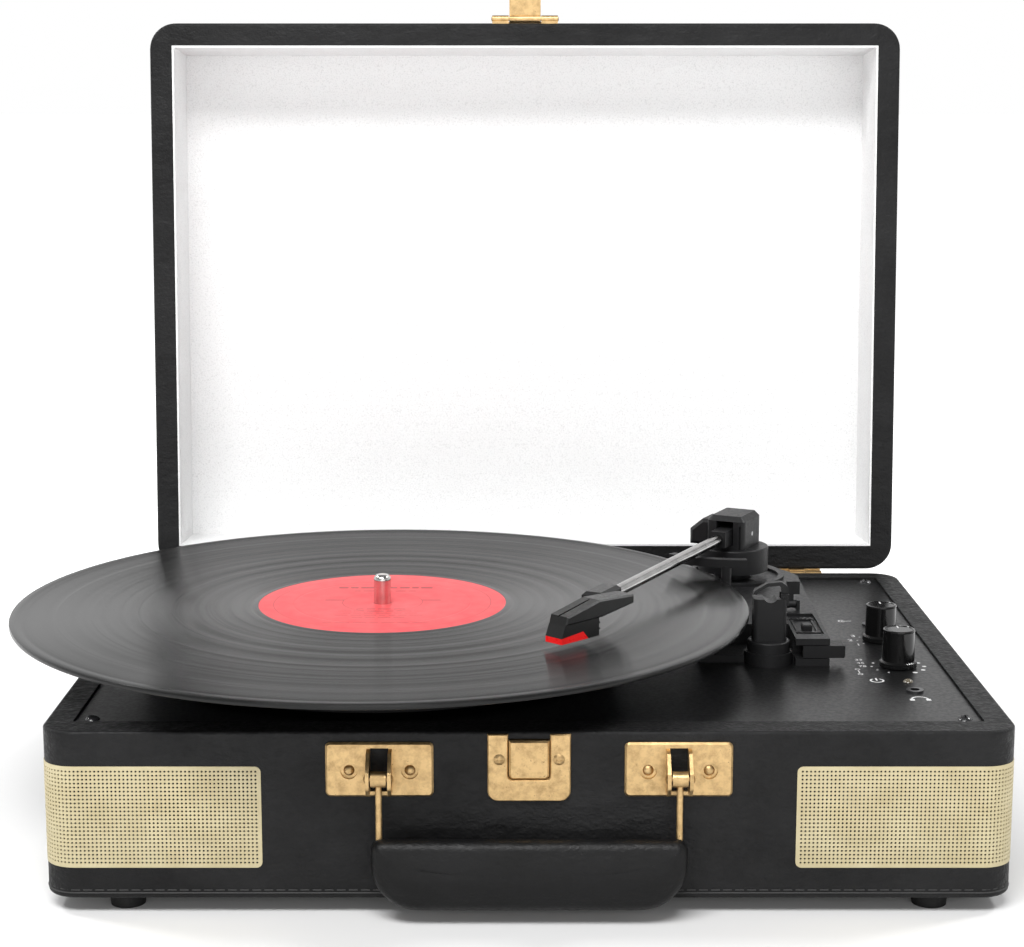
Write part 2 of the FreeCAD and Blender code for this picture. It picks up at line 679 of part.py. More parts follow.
def make_speakers():
    frames = []
    cones = []
    for side in SIDES:
        x = side * (half_width - d.speaker_inset)
        face = (x, cavity_front, speaker_z)
        back = (x, cavity_front + d.speaker_flange, speaker_z)
        rear = (x, cavity_front + d.speaker_flange + d.basket_depth, speaker_z)
        neck = d.magnet_radius - 1.5
        frames.append(fuse(
            ring(d.speaker_radius, d.speaker_hole, face, d.speaker_flange, "+Y"),
            cut(cone(d.speaker_hole + 1.5, neck + 1, back, d.basket_depth, "+Y"),
                cone(d.speaker_hole, neck, back, d.basket_depth, "+Y")),
            rod(d.magnet_radius, rear, d.magnet_depth, "+Y")))
        surround = ring(d.speaker_hole, d.speaker_hole - 3, face, d.paper_thickness, "+Y")
        lip = d.speaker_hole - 2.2
        paper = cut(cone(lip, 6, face, 8, "+Y"),
                    cone(lip - d.paper_thickness, 6 - d.paper_thickness, face, 8, "+Y"))
        cones.append(fuse(surround, paper))
    piece("speaker_frames", group(*frames))
    piece("speaker_cones", group(*cones))


# ---------------------------------------------------------------- latch and handle

def make_latch():
    slot = d.button_half + d.slide_gap
    seat = button_low - d.slide_gap
    outline = [(-d.latch_half, latch_low), (d.latch_half, latch_low), (d.latch_half, latch_top),
               (slot, latch_top), (slot, seat), (-slot, seat), (-slot, latch_top),
               (-d.latch_half, latch_top)]
    plate = prism("LatchSheet", "XZ", (front - d.latch_sheet, front), outline,
                  rounds=[(d.latch_round, outline[:2]), (d.button_round, outline[4:6])])
    bevel_edges(plate, 0.4, edges_in_plane(1, front - d.latch_sheet))
    holes = [rod(d.small_screw_radius, (x, front, latch_screw_z), d.latch_sheet, "-Y")
             for x in latch_screw_places]
    piece("latch_plate", cut(plate, *holes))

    lower = [(-d.button_half, button_low), (d.button_half, button_low)]
    face = front - d.button_proud
    button = prism("ButtonBlock", "XZ", (face, front + d.button_depth),
                   lower + [(d.button_half, button_top), (-d.button_half, button_top)],
                   rounds=[(d.button_round, lower)])
    bevel_edges(button, 0.7, edges_in_plane(1, face))
    piece("latch_button", button)


def brass_screw(start, length, head_direction):
    return screw(2.1, 0.8, d.small_screw_radius, length, start, head_direction)


def make_brass_screws():
    latch_length = d.latch_sheet + d.latch_screw_bite - d.screw_end_gap
    leaf_length = d.leaf_sheet + d.leaf_screw_bite - d.screw_end_gap
    latch = [brass_screw((x, front - d.latch_sheet, latch_screw_z), latch_length, "-Y")
             for x in latch_screw_places]
    leaves = [brass_screw((x, half_depth + d.leaf_sheet, hinge_z - d.leaf_screw_z), leaf_length, "+Y")
              for x in leaf_screw_places]
    piece("brass_screws", group(*latch, *leaves))


def handle_bracket(side):
    middle = side * d.handle_half
    outline = rectangle((middle - d.bracket_half, middle + d.bracket_half), (bracket_low, bracket_top))
    face = front - d.bracket_sheet
    plate = prism("BracketSheet", "XZ", (face, front), outline, rounds=[(1.8, outline)],
                  bevel=(d.bracket_bevel, [face]))
    lug_outline = [(front, bracket_low + 2), (handle_y + 1, bracket_low + 2),
                   (handle_y - 3, pivot_height - 3), (handle_y - 3, pivot_height + 2.5),
                   (handle_y + 3, bracket_top - 3), (front, bracket_top - 2)]
    lugs = [prism("BracketLug", "YZ", (middle + sign * d.lug_inner,
                                       middle + sign * (d.lug_inner + d.lug_sheet)),
                  lug_outline, rounds=[(2, lug_outline[2:4])]) for sign in SIDES]
    window = box((middle - d.lug_inner, middle + d.lug_inner), (face, front),
                 (bracket_low + 2, bracket_top - 2))
    holes = [rod(d.small_screw_radius, (middle + sign * d.rivet_spread, front, rivet_height),
                 d.bracket_sheet, "-Y") for sign in SIDES]
    dimples = [rod(d.dimple_radius, (middle + sign * d.rivet_spread, face + d.dimple_depth, rivet_height),
                   d.dimple_depth, "-Y") for sign in SIDES]
    bore = rod(d.pin_radius, (middle - d.bracket_half, handle_y, pivot_height), 2 * d.bracket_half, "+X")
    return cut(fuse(plate, *lugs), window, *holes, *dimples, bore)


def make_handle():
    piece("handle_brackets", group(*[handle_bracket(side) for side in SIDES]))
    seat = front - d.bracket_sheet + d.dimple_depth
    wall = cavity_front - seat
    rivets = []
    for x in rivet_places:
        start = (x, seat, rivet_height)
        tail = rod(d.rivet_head, (x, cavity_front, rivet_height), 1, "+Y")
        rivets.append(fuse(rivet(d.rivet_head, 1.2, d.small_screw_radius, wall, start, "-Y"), tail))
    outer = d.lug_inner + d.lug_sheet
    for side in SIDES:
        middle = side * d.handle_half
        pin = rod(d.pin_radius, (middle - outer, handle_y, pivot_height), 2 * outer, "+X")
        heads = [dome(1.8, 0.8, (middle + sign * outer, handle_y, pivot_height),
                      "+X" if sign > 0 else "-X") for sign in SIDES]
        rivets.append(fuse(pin, *heads))
    piece("handle_rivets", group(*rivets))

    bail = handle_wire()
    bores = [rod(d.pin_radius + d.pin_clearance,
                 (side * d.handle_half - d.lug_inner, handle_y, pivot_height),
                 2 * d.lug_inner, "+X") for side in SIDES]
    piece("handle_bail", cut(bail, *bores))

    grip_top = grip_low + d.grip_tall
    outline = rectangle((-d.grip_half, d.grip_half), (grip_low, grip_top))
    faces = (grip_y - d.grip_thick / 2, grip_y + d.grip_thick / 2)
    pad = prism("GripPad", "XZ", faces, outline,
                rounds=[(d.grip_corner, outline[:2]), (2.5, outline[2:])])
    round_edges(pad, d.grip_soft, edges_in_plane(1, *faces))
    piece("handle_grip", cut(pad, handle_wire()))


def handle_wire():
    """The bent wire of the handle: an eye and a leg at each end, and a bar inside the grip."""
    reach = d.handle_half + 2
    parts = [rod(d.wire_radius + 0.4, (-reach, handle_y, grip_wire_height), 2 * reach, "+X")]
    for side in SIDES:
        x = side * d.handle_half
        leg = pivot_height - 1.6 - grip_wire_height
        parts.append(rod(d.wire_radius, (x, handle_y, grip_wire_height), leg))
        parts.append(rod(d.eye_radius, (x - d.lug_inner + 0.5, handle_y, pivot_height),
                         2 * d.lug_inner - 1, "+X"))
    return fuse(*parts)


# ---------------------------------------------------------------- hinges and lid

def make_hinges():
    half = d.hinge_width / 2
    gap = d.knuckle_half + 0.3
    case_leaves = []
    pins = []
    lid_leaves = []
    for side in SIDES:
        x = side * hinge_x
        back = (half_depth, half_depth + d.leaf_sheet)
        plate = box((x - half, x + half), back, (hinge_z - d.leaf_reach, hinge_z - 3.2))
        tabs = [box((x + sign * gap, x + sign * half), back, (hinge_z - 3.2, hinge_z)) for sign in SIDES]
        knuckles = [rod(d.barrel_radius, (x - half, hinge_y, hinge_z), half - gap, "+X"),
                    rod(d.barrel_radius, (x + gap, hinge_y, hinge_z), half - gap, "+X")]
        holes = [rod(d.small_screw_radius, (x + sign * d.leaf_screw_x, half_depth, hinge_z - d.leaf_screw_z),
                     d.leaf_sheet, "+Y") for sign in SIDES]
        bore = rod(d.hinge_pin, (x - half, hinge_y, hinge_z), d.hinge_width, "+X")
        case_leaves.append(cut(fuse(plate, *tabs, *knuckles), bore, *holes))
        pins.append(rod(d.hinge_pin, (x - half, hinge_y, hinge_z), d.hinge_width, "+X"))

        face = (lid_back, lid_back + d.leaf_sheet)
        lid_plate = box((x - half, x + half), face, (3.2, d.leaf_reach))
        tab = box((x - d.knuckle_half, x + d.knuckle_half), face, (0, 3.2))
        knuckle = rod(d.barrel_radius, (x - d.knuckle_half, 0, 0), 2 * d.knuckle_half, "+X")
        lid_bore = rod(d.hinge_pin + d.hinge_clearance, (x - half, 0, 0), d.hinge_width, "+X")
        lid_holes = [rod(d.small_screw_radius, (x + sign * d.leaf_screw_x, lid_back, d.leaf_screw_z),
                         d.leaf_sheet, "+Y") for sign in SIDES]
        lid_leaves.append(cut(fuse(lid_plate, tab, knuckle), lid_bore, *lid_holes))
    piece("case_hinge_leaves", group(*case_leaves))
    piece("hinge_pins", group(*pins))
    piece("lid_hinge_leaves", in_lid(group(*lid_leaves)))
    length = d.leaf_sheet + d.lid_screw_bite - d.screw_end_gap
    screws = [brass_screw((x, lid_back + d.leaf_sheet, d.leaf_screw_z), length, "+Y")
              for x in leaf_screw_places]
    piece("lid_hinge_screws", in_lid(group(*screws)))


def lid_recess(inset):
    return box((-lid_inside + inset, lid_inside - inset),
               (lid_front + d.lid_wall + inset, lid_back - d.lid_hinge_wall - inset),
               (lid_low, lid_top - d.lid_panel - inset))


def make_lid():
    block = rounded_block("LidBlock", (-half_width, half_width), (lid_front, lid_back),
                          (lid_low, lid_top), d.corner_radius)
    round_edges(block, d.lid_edge, edges_in_plane(2, lid_top))
    round_edges(block, d.case_edge, edges_in_plane(2, lid_low))
    holes = [rod(d.small_screw_radius, (x, lid_back, d.leaf_screw_z), d.lid_screw_bite, "-Y")
             for x in leaf_screw_places]
    holes += [rod(d.hasp_rivet_shank, (x, lid_front, hasp_rivet_z), d.hasp_rivet_bite, "+Y")
              for x in hasp_rivet_places]
    piece("lid_shell", in_lid(cut(block, lid_recess(0), *holes)))
    piece("lid_lining", in_lid(cut(lid_recess(0), lid_recess(d.lining))))


def make_hasp():
    low = lid_low + d.hasp_low
    axis_y = lid_front - d.hasp_axis_out
    axis_z = lid_low + d.hasp_axis_up
    gap = d.tongue_half + d.slide_gap
    plate = box((-d.hasp_half, d.hasp_half), (lid_front - d.hasp_sheet, lid_front), (low, low + d.hasp_tall))
    notch = box((-gap, gap), (lid_front - d.hasp_sheet, lid_front), (low, axis_z + d.hasp_barrel + 0.4))
    knuckles = [rod(d.hasp_barrel, (-d.hasp_half, axis_y, axis_z), d.hasp_half - gap, "+X"),
                rod(d.hasp_barrel, (gap, axis_y, axis_z), d.hasp_half - gap, "+X")]
    length = d.hasp_sheet + d.hasp_rivet_bite - d.screw_end_gap
    rivets = [rivet(2, 0.8, d.hasp_rivet_shank, length, (x, lid_front - d.hasp_sheet, hasp_rivet_z), "-Y")
              for x in hasp_rivet_places]
    bore = rod(d.hasp_pin_radius, (-d.hasp_half, axis_y, axis_z), 2 * d.hasp_half, "+X")
    piece("hasp_base", in_lid(cut(fuse(cut(plate, notch), *knuckles, *rivets), bore)))

    barrel = rod(d.hasp_barrel, (-d.tongue_half, axis_y, axis_z), 2 * d.tongue_half, "+X")
    blade = box((-d.tongue_half, d.tongue_half), (axis_y - d.tongue_reach, axis_y),
                (axis_z + d.hasp_barrel - d.tongue_sheet, axis_z + d.hasp_barrel))
    tongue_bore = rod(d.hasp_pin_radius + d.pin_clearance, (-d.tongue_half, axis_y, axis_z),
                      2 * d.tongue_half, "+X")
    piece("hasp_tongue", in_lid(cut(fuse(barrel, blade), tongue_bore)))
    pin = rod(d.hasp_pin_radius, (-d.hasp_half, axis_y, axis_z), 2 * d.hasp_half, "+X")
    ends = [dome(1.3, 0.5, (side * d.hasp_half, axis_y, axis_z), "+X" if side > 0 else "-X")
            for side in SIDES]
    piece("hasp_pin", in_lid(fuse(pin, *ends)))


# ---------------------------------------------------------------- platter and record

def at_spindle(thing):
    return standing_at(thing, d.spindle_x, d.spindle_y)


def make_platter():
    tip = record_top + d.spindle_tip
    thread = d.spindle_radius + 1
    spindle = turned("SpindleTurning", [
        (0, deck_under - 7), (thread, deck_under - 7), (thread, deck_top), (d.collar_radius, deck_top),
        (d.collar_radius, collar_top), (d.spindle_radius, collar_top), (d.spindle_radius, tip), (0, tip)],
        rounds=[(2.4, tip)])
    piece("spindle", at_spindle(spindle))

    web = platter_top - d.platter_sheet
    hub_low = collar_top + 0.1
    ring_inner = d.ring_radius - d.ring_sheet
    rim_inner = d.platter_radius - d.rim_sheet
    ring_low = pulley_low
    platter = turned("PlatterTurning", [
        (d.bush_radius, hub_low), (d.hub_radius, hub_low), (d.hub_radius, web), (ring_inner, web),
        (ring_inner, ring_low), (d.ring_radius, ring_low), (d.ring_radius, web), (rim_inner, web),
        (rim_inner, platter_low), (d.platter_radius, platter_low), (d.platter_radius, platter_top),
        (d.bush_radius, platter_top)])
    piece("platter", at_spindle(platter))
    piece("platter_bush", at_spindle(ring(d.bush_radius, d.spindle_radius + d.shaft_clearance,
                                          (0, 0, hub_low), platter_top - hub_low)))
    hole = d.spindle_radius + d.hole_clearance
    piece("slipmat", at_spindle(ring(d.platter_radius, hole, (0, 0, platter_top), d.mat_thickness)))

    edge = d.record_radius
    label_low = record_top - d.label_thickness
    record = turned("RecordTurning", [
        (hole, record_low), (edge - 0.6, record_low), (edge, record_low + 0.6), (edge, record_top - 0.6),
        (edge - 0.6, record_top), (edge - 3, record_top), (edge - 4.5, groove_top),
        (d.label_radius + 2.5, groove_top), (d.label_radius + 1.5, record_top),
        (d.label_radius, record_top), (d.label_radius, label_low), (hole, label_low)])
    piece("record", at_spindle(record))
    piece("record_label", at_spindle(ring(d.label_radius, hole, (0, 0, label_low), d.label_thickness)))


def make_motor():
    can = rod(d.motor_radius, (motor_x, motor_y, deck_under - d.motor_height), d.motor_height)
    shaft_low = deck_under - 10
    bore = rod(d.shaft_radius + d.shaft_clearance, (motor_x, motor_y, shaft_low), 10)
    holes = [rod(d.screw_radius, (x, motor_y, deck_under - 4), 4) for x in motor_screw_places]
    piece("motor", cut(can, bore, *holes))

    top = pulley_low + d.pulley_height
    pulley = turned("PulleyTurning", [
        (0, shaft_low + 0.5), (d.shaft_radius, shaft_low + 0.5), (d.shaft_radius, pulley_low),
        (d.pulley_flange, pulley_low), (d.pulley_flange, pulley_low + 1),
        (d.pulley_radius, pulley_low + 1), (d.pulley_radius, top - 1), (d.pulley_flange, top - 1),
        (d.pulley_flange, top), (0, top)])
    piece("motor_pulley", standing_at(pulley, motor_x, motor_y))


def belt_loop(clearance):
    """Face inside an open belt drawn that far outside the platter's ring and the motor's pulley."""
    large = d.ring_radius.value + clearance
    small = d.pulley_radius.value + clearance
    reach = motor_reach.value
    lean = math.acos((large - small) / reach)

    def at(centre, radius, angle):
        return FreeCAD.Vector(centre + radius * math.cos(angle), radius * math.sin(angle), 0)

    edges = [
        Part.LineSegment(at(0, large, lean), at(reach, small, lean)),
        Part.Arc(at(reach, small, lean), at(reach, small, 0), at(reach, small, -lean)),
        Part.LineSegment(at(reach, small, -lean), at(0, large, -lean)),
        Part.Arc(at(0, large, -lean), at(0, large, math.pi), at(0, large, lean)),
    ]
    return Part.Face(Part.Wire([edge.toShape() for edge in edges]))


def make_belt():
    """A flat belt: arcs round the platter's ring and the pulley, joined by their outer tangents."""
    inside = d.belt_gap.value
    band = belt_loop(inside + d.belt_sheet.value).cut(belt_loop(inside))
    belt = doc.addObject("Part::Feature", "Belt")
    belt.Shape = band.extrude(FreeCAD.Vector(0, 0, d.belt_width.value))
    belt.Placement = FreeCAD.Placement(
        FreeCAD.Vector(), FreeCAD.Rotation(FreeCAD.Vector(0, 0, 1), d.motor_bearing.value))
    bind(belt, "Placement.Rotation.Angle", d.motor_bearing)
    move(belt, d.spindle_x, d.spindle_y, pulley_low + (d.pulley_height - d.belt_width) / 2)
    piece("drive_belt", belt)


# ---------------------------------------------------------------- tonearm

def make_tonearm_base():
    inner_front = d.rest_y + d.rest_foot + 8
    block_outline = [(d.base_left, inner_front), (shelf_x, inner_front), (shelf_x, d.base_front),
                     (d.base_right - 2, d.base_front), (d.base_right, d.base_back - 24),
                     (d.base_right - 12, d.base_back), (d.base_left + 6, d.base_back),
                     (d.base_left, d.base_back - 8)]
    block = prism("BaseBlock", "XY", (deck_top, base_top), block_outline,
                  rounds=[(20, [block_outline[4]]), (6, [block_outline[5]])])
    plate = box((d.plate_left, shelf_x), (d.rest_y - 1, d.arm_pivot_y - 20),
                (deck_top, deck_top + d.plate_thickness))
    post = rod(d.post_radius, (d.arm_pivot_x, d.arm_pivot_y, base_top), d.post_height)
    rim = ring(23, 20.5, (d.arm_pivot_x, d.arm_pivot_y, base_top), 1.2)
    lugs = [box((d.cue_x + sign * 2.3, d.cue_x + sign * 3.6), (d.cue_y - 2, d.cue_y + 2),
                (base_top, cue_axis_z + 1.8)) for sign in SIDES]
    bore_depth = d.post_height + 8
    openings = [
        rod(d.pivot_shaft + d.shaft_clearance,
            (d.arm_pivot_x, d.arm_pivot_y, base_top + d.post_height), bore_depth, "-Z"),
        rod(d.plunger_radius + d.shaft_clearance, (plunger_x, plunger_y, base_top),
            base_top - deck_top - 1, "-Z"),
        box((shelf_x + 1.2, d.base_right - 3.2), (d.base_front + 8, d.cue_y - 7),
            (base_top - d.recess_depth, base_top)),
        box((shelf_x - 0.5, d.base_right + 1), (d.base_front - 1, d.base_front + 10), speed_slot),
        rod(d.rest_foot + 0.2, (d.rest_x, d.rest_y, deck_top), 12),
        rod(d.trunnion_radius + d.shaft_clearance, (d.cue_x - 4, d.cue_y, cue_axis_z), 8, "+X"),
    ]
    piece("tonearm_base", cut(fuse(block, plate, post, rim, *lugs), *openings))


def make_tonearm_pivot():
    roof = base_top + d.post_height + 0.5
    shaft_low = base_top + d.post_height - 16
    drum = turned("DrumTurning", [
        (0, shaft_low), (d.pivot_shaft, shaft_low), (d.pivot_shaft, roof),
        (d.drum_radius - d.drum_wall, roof), (d.drum_radius - d.drum_wall, drum_low),
        (d.drum_radius, drum_low), (d.drum_radius, drum_top), (0, drum_top)],
        rounds=[(0.8, drum_top)])
    piece("pivot_drum", standing_at(drum, d.arm_pivot_x, d.arm_pivot_y))

    x = d.housing_half_x
    y = d.housing_half_y
    faces = (drum_top, housing_top)
    outline = rectangle((-x, x), (-y, y))
    block = prism("HousingBlock", "XY", faces, outline, rounds=[(3, outline)])
    bevel_edges(block, 2.2, edges_in_plane(2, housing_top))
    root = -x + 1.5
    lobe_outline = [(-x - d.lobe_reach, drum_top), (root, drum_top), (root, housing_top - 3),
                    (-x - 4, housing_top - 3), (-x - d.lobe_reach, housing_top - 8)]
    lobe = prism("HousingLobe", "XZ", (-y + 5, y - 3), lobe_outline, bevel=(1.5, [-y + 5, y - 3]))
    inner_x = x - d.housing_wall
    ceiling = housing_top - 2.2
    room = box((-inner_x, inner_x), (-y + d.housing_front, y - d.housing_wall), (drum_top, ceiling))
    slot_half = d.carrier_half + d.sleeve_room
    slot = box((-slot_half, slot_half), (-y, -y + d.housing_front), (arm_height - slot_half, ceiling))
    groove = box((x - 2.2, x - 1.4), (-y, -y + 1), (drum_top, housing_top - 4))
    bore = rod(d.gimbal_radius, (-x, 0, arm_height), 2 * x, "+X")
    piece("tonearm_housing", in_arm(cut(fuse(block, lobe), room, slot, groove, bore)))
    pin = rod(d.gimbal_radius, (-x, 0, arm_height), 2 * x, "+X")
    piece("gimbal_pin", in_arm(group(pin)))


def make_arm():
    half = d.carrier_half
    room = d.housing_half_x - d.housing_wall - 0.4
    hub = box((-room, room), (-6, 5), (arm_height - half, arm_height + half))
    sleeve = box((-half, half), (-d.carrier_front, -6), (arm_height - half, arm_height + half))
    pin_bore = rod(d.gimbal_radius + d.shaft_clearance, (-room, 0, arm_height), 2 * room, "+X")
    tube_hole = rod(d.tube_radius, (0, -8, arm_height), d.carrier_front, "-Y")
    piece("arm_carrier", in_arm(cut(fuse(hub, sleeve), pin_bore, tube_hole)))
    tube = ring(d.tube_radius, tube_bore, (0, -8, arm_height), d.tube_end, "-Y")
    piece("arm_tube", in_arm(tube))

    start = -d.tube_end
    block = prism("EndBlockBody", "XY", (arm_height - 3.2, arm_height + 4.5),
                  rectangle((-d.end_block_half, d.end_block_half), (start - d.end_block_length, start)))
    bevel_edges(block, 1.4, edges_in_plane(2, arm_height + 4.5))
    socket = rod(d.tube_radius, (0, start, arm_height), 8, "-Y")
    piece("arm_end_block", cut(in_arm(cut(block, socket)), head_envelope()))


def head_envelope():
    """The space that the headshell fills beside the end block."""
    return in_head(group(box((-d.head_half, d.head_half), (-2, d.head_length), (head_low, arm_height + 6))))


def make_head():
    shell_low = head_low + 7
    shell_top = arm_height + 5
    outline = [(-1, shell_low), (0, shell_top - 3.6), (18, shell_top), (d.head_length, shell_top - 1),
               (d.head_length, shell_top - 4.4), (d.cartridge_length + 2, shell_low)]
    shell = prism("ShellBody", "YZ", (-d.head_half, d.head_half), outline)
    bevel_edges(shell, 0.6, edges_in_plane(0, -d.head_half, d.head_half))
    groove = box((-0.4, 0.4), (-2, 17), (shell_top - 4.4, shell_top + 1))
    piece("headshell", in_head(cut(shell, cut(groove, groove_floor()))))

    half = d.head_half - 0.5
    nose = -3
    body_outline = [(nose, head_low + 2.3), (9, head_low + 3.2), (12, head_low),
                    (d.cartridge_length, head_low), (d.cartridge_length, shell_low), (-1, shell_low)]
    body = prism("CartridgeBody", "YZ", (-half, half), body_outline)
    pins = [rod(0.4, (sx * 2.2, d.cartridge_length, head_low + z), 2.5, "+Y")
            for sx in SIDES for z in (2, 4.4)]
    piece("cartridge", in_head(fuse(body, *pins)))

    wedge_outline = [(nose, head_low), (12, head_low), (9, head_low + 3.2), (nose, head_low + 2.3)]
    wedge = prism("StylusWedge", "YZ", (-half, half), wedge_outline)
    needle = cone(0.15, 0.45, (0, 0, stylus_tip), head_low - stylus_tip)
    piece("stylus", in_head(fuse(wedge, needle)))


def groove_floor():
    """Fills the groove on the shell's sloping top up to just under the surface."""
    rise = arm_height + 5
    return prism("GrooveFloor", "YZ", (-0.4, 0.4),
                 [(-2, rise - 10), (-2, rise - 4.6), (0, rise - 4.2), (17, rise - 0.8), (17, rise - 10)])


def make_arm_rest():
    collar = deck_top + 5
    shoulder = deck_top + 9.5
    foot = turned("RestFoot", [
        (0, deck_top), (d.rest_foot, deck_top), (d.rest_foot, collar), (d.rest_foot - 1.1, collar),
        (d.rest_foot - 1.1, shoulder), (0, shoulder)], rounds=[(0.6, shoulder)])
    outline = rectangle((-d.rest_column_x, d.rest_column_x), (-d.rest_column_y, d.rest_column_y))
    column = prism("RestColumn", "XY", (shoulder, rest_top), outline, rounds=[(2, outline)])
    cradle = rod(d.tube_radius + 0.6, (0, -d.rest_column_y, rest_top + 1.6), 2 * d.rest_column_y, "+Y")
    lugs = [box((d.rest_column_x - 2.4, d.rest_column_x + 0.8),
                (sign * (d.clip_half + 0.3), sign * d.lug_half),
                (rest_top - 3, rest_top + 1.8)) for sign in SIDES]
    slot = box((d.rest_column_x - 2.7, d.rest_column_x + 1), (-d.clip_half - 0.3, d.clip_half + 0.3),
               (rest_top - 3, rest_top))
    bore = rod(d.trunnion_radius + d.shaft_clearance,
               (clip_x - d.rest_x, -d.lug_half, clip_z), 2 * d.lug_half, "+Y")
    piece("armrest_post", standing_at(cut(fuse(foot, column, *lugs), cradle, slot, bore), d.rest_x, d.rest_y))

    x = clip_x - d.rest_x
    z = clip_z
    outline = [(x - 1.3, z - 1), (x + 1.3, z - 1), (x + 1.3, z + 4.2), (x - 1.6, z + 6.2),
               (x - 7.2, z + 5.6), (x - 12.2, z + 2.6), (x - 12.9, z + 1.2), (x - 11.6, z + 0.8),
               (x - 10.9, z + 2), (x - 6.8, z + 4.2), (x - 2.4, z + 4.6), (x - 1.3, z + 3.4)]
    clip = prism("ClipBody", "XZ", (-d.clip_half, d.clip_half), outline,
                 rounds=[(1.5, outline[2:4]), (2, outline[4:5])])
    trunnions = rod(d.trunnion_radius, (x, -d.lug_half, z), 2 * d.lug_half, "+Y")
    piece("armrest_clip", standing_at(fuse(clip, trunnions), d.rest_x, d.rest_y))


def make_cueing():
    low = lift_bar_top - d.lift_bar_height
    sectors = []
    for radius in (d.lift_bar_radius + d.lift_bar_half, d.lift_bar_radius - d.lift_bar_half):
        sector = rod(radius, (0, 0, low), d.lift_bar_height)
        bind(sector, "Angle", d.lift_bar_span)
        sectors.append(sector)
    arc = cut(*sectors)
    start = 270 - d.lift_bar_start
    arc.Placement = FreeCAD.Placement(
        FreeCAD.Vector(), FreeCAD.Rotation(FreeCAD.Vector(0, 0, 1), start.value))
    bind(arc, "Placement.Rotation.Angle", start)
    move(arc, d.arm_pivot_x, d.arm_pivot_y, 0)
    foot = base_top - 5.5
    plunger = rod(d.plunger_radius, (plunger_x, plunger_y, foot), low - foot + 0.5)
    piece("lift_bar", fuse(arc, plunger))

    top = base_top + d.cue_height
    x = d.cue_x
    y = d.cue_y
    hub = rod(1.8, (x - 2, y, cue_axis_z), 4, "+X")
    trunnions = rod(d.trunnion_radius, (x - 3.6, y, cue_axis_z), 7.2, "+X")
    stem = box((x - 1, x + 1), (y - 1, y + 1), (cue_axis_z, top - 4))
    paddle = box((x - 2, x + 3.5), (y - 1.2, y + 1.2), (top - 5.5, top))
    piece("cue_lever", fuse(hub, trunnions, stem, paddle))


def make_switches():
    floor = base_top - d.recess_depth + 0.2
    knob = prism("SwitchKnob", "XY", (floor, base_top + 1.6),
                 rectangle((d.switch_x - 2, d.switch_x + 2), (d.switch_y - 2.6, d.switch_y + 2.6)))
    bevel_edges(knob, 0.4, edges_in_plane(2, base_top + 1.6))
    piece("auto_stop_switch", knob)
    low, high = speed_slot
    lever = prism("SpeedBlade", "XY", (low + d.slide_gap, high - d.slide_gap),
                  rectangle((shelf_x + 3, d.base_right + d.speed_reach), (d.base_front, d.base_front + 9)))
    bevel_edges(lever, 0.5, edges_in_plane(0, d.base_right + d.speed_reach))
    piece("speed_lever", lever)


# ---------------------------------------------------------------- controls and electronics

def make_knobs():
    for name, y in knob_places:
        low = deck_top + d.knob_lift
        skirt = low + 2
        top = deck_top + d.knob_height
        knob = turned("KnobTurning", [
            (0, deck_under - 7), (d.stem_radius, deck_under - 7), (d.stem_radius, low), (d.knob_skirt, low),
            (d.knob_skirt, skirt), (d.knob_radius, skirt + 0.8), (d.knob_radius - 0.3, top), (0, top)])
        bevel_edges(knob, 0.6, edges_in_plane(2, top))
        piece(name, standing_at(knob, d.control_x, y))
    pots = [cut(box((d.control_x - d.pot_half, d.control_x + d.pot_half), (y - d.pot_half, y + d.pot_half),
                    (deck_under - d.pot_height, deck_under)),
                rod(d.stem_radius + d.shaft_clearance, (d.control_x, y, deck_under), 7.5, "-Z"))
            for _, y in knob_places]
    piece("control_pots", group(*pots))


def make_sockets():
    led = fuse(rod(d.led_radius, (d.control_x, d.led_y, deck_under - 3), d.deck_thickness + 3),
               dome(d.led_radius, 1.1, (d.control_x, d.led_y, deck_top)))
    piece("power_led", led)
    jacks = []
    for y in jack_places:
        sleeve = rod(d.jack_radius, (d.control_x, y, deck_top), d.jack_depth, "-Z")
        nut = rod(d.jack_nut, (d.control_x, y, deck_top), 0.8)
        bore = rod(d.jack_bore, (d.control_x, y, deck_top + 0.8), d.jack_bore_depth, "-Z")
        jacks.append(cut(fuse(sleeve, nut), bore))
    piece("audio_jacks", group(*jacks))


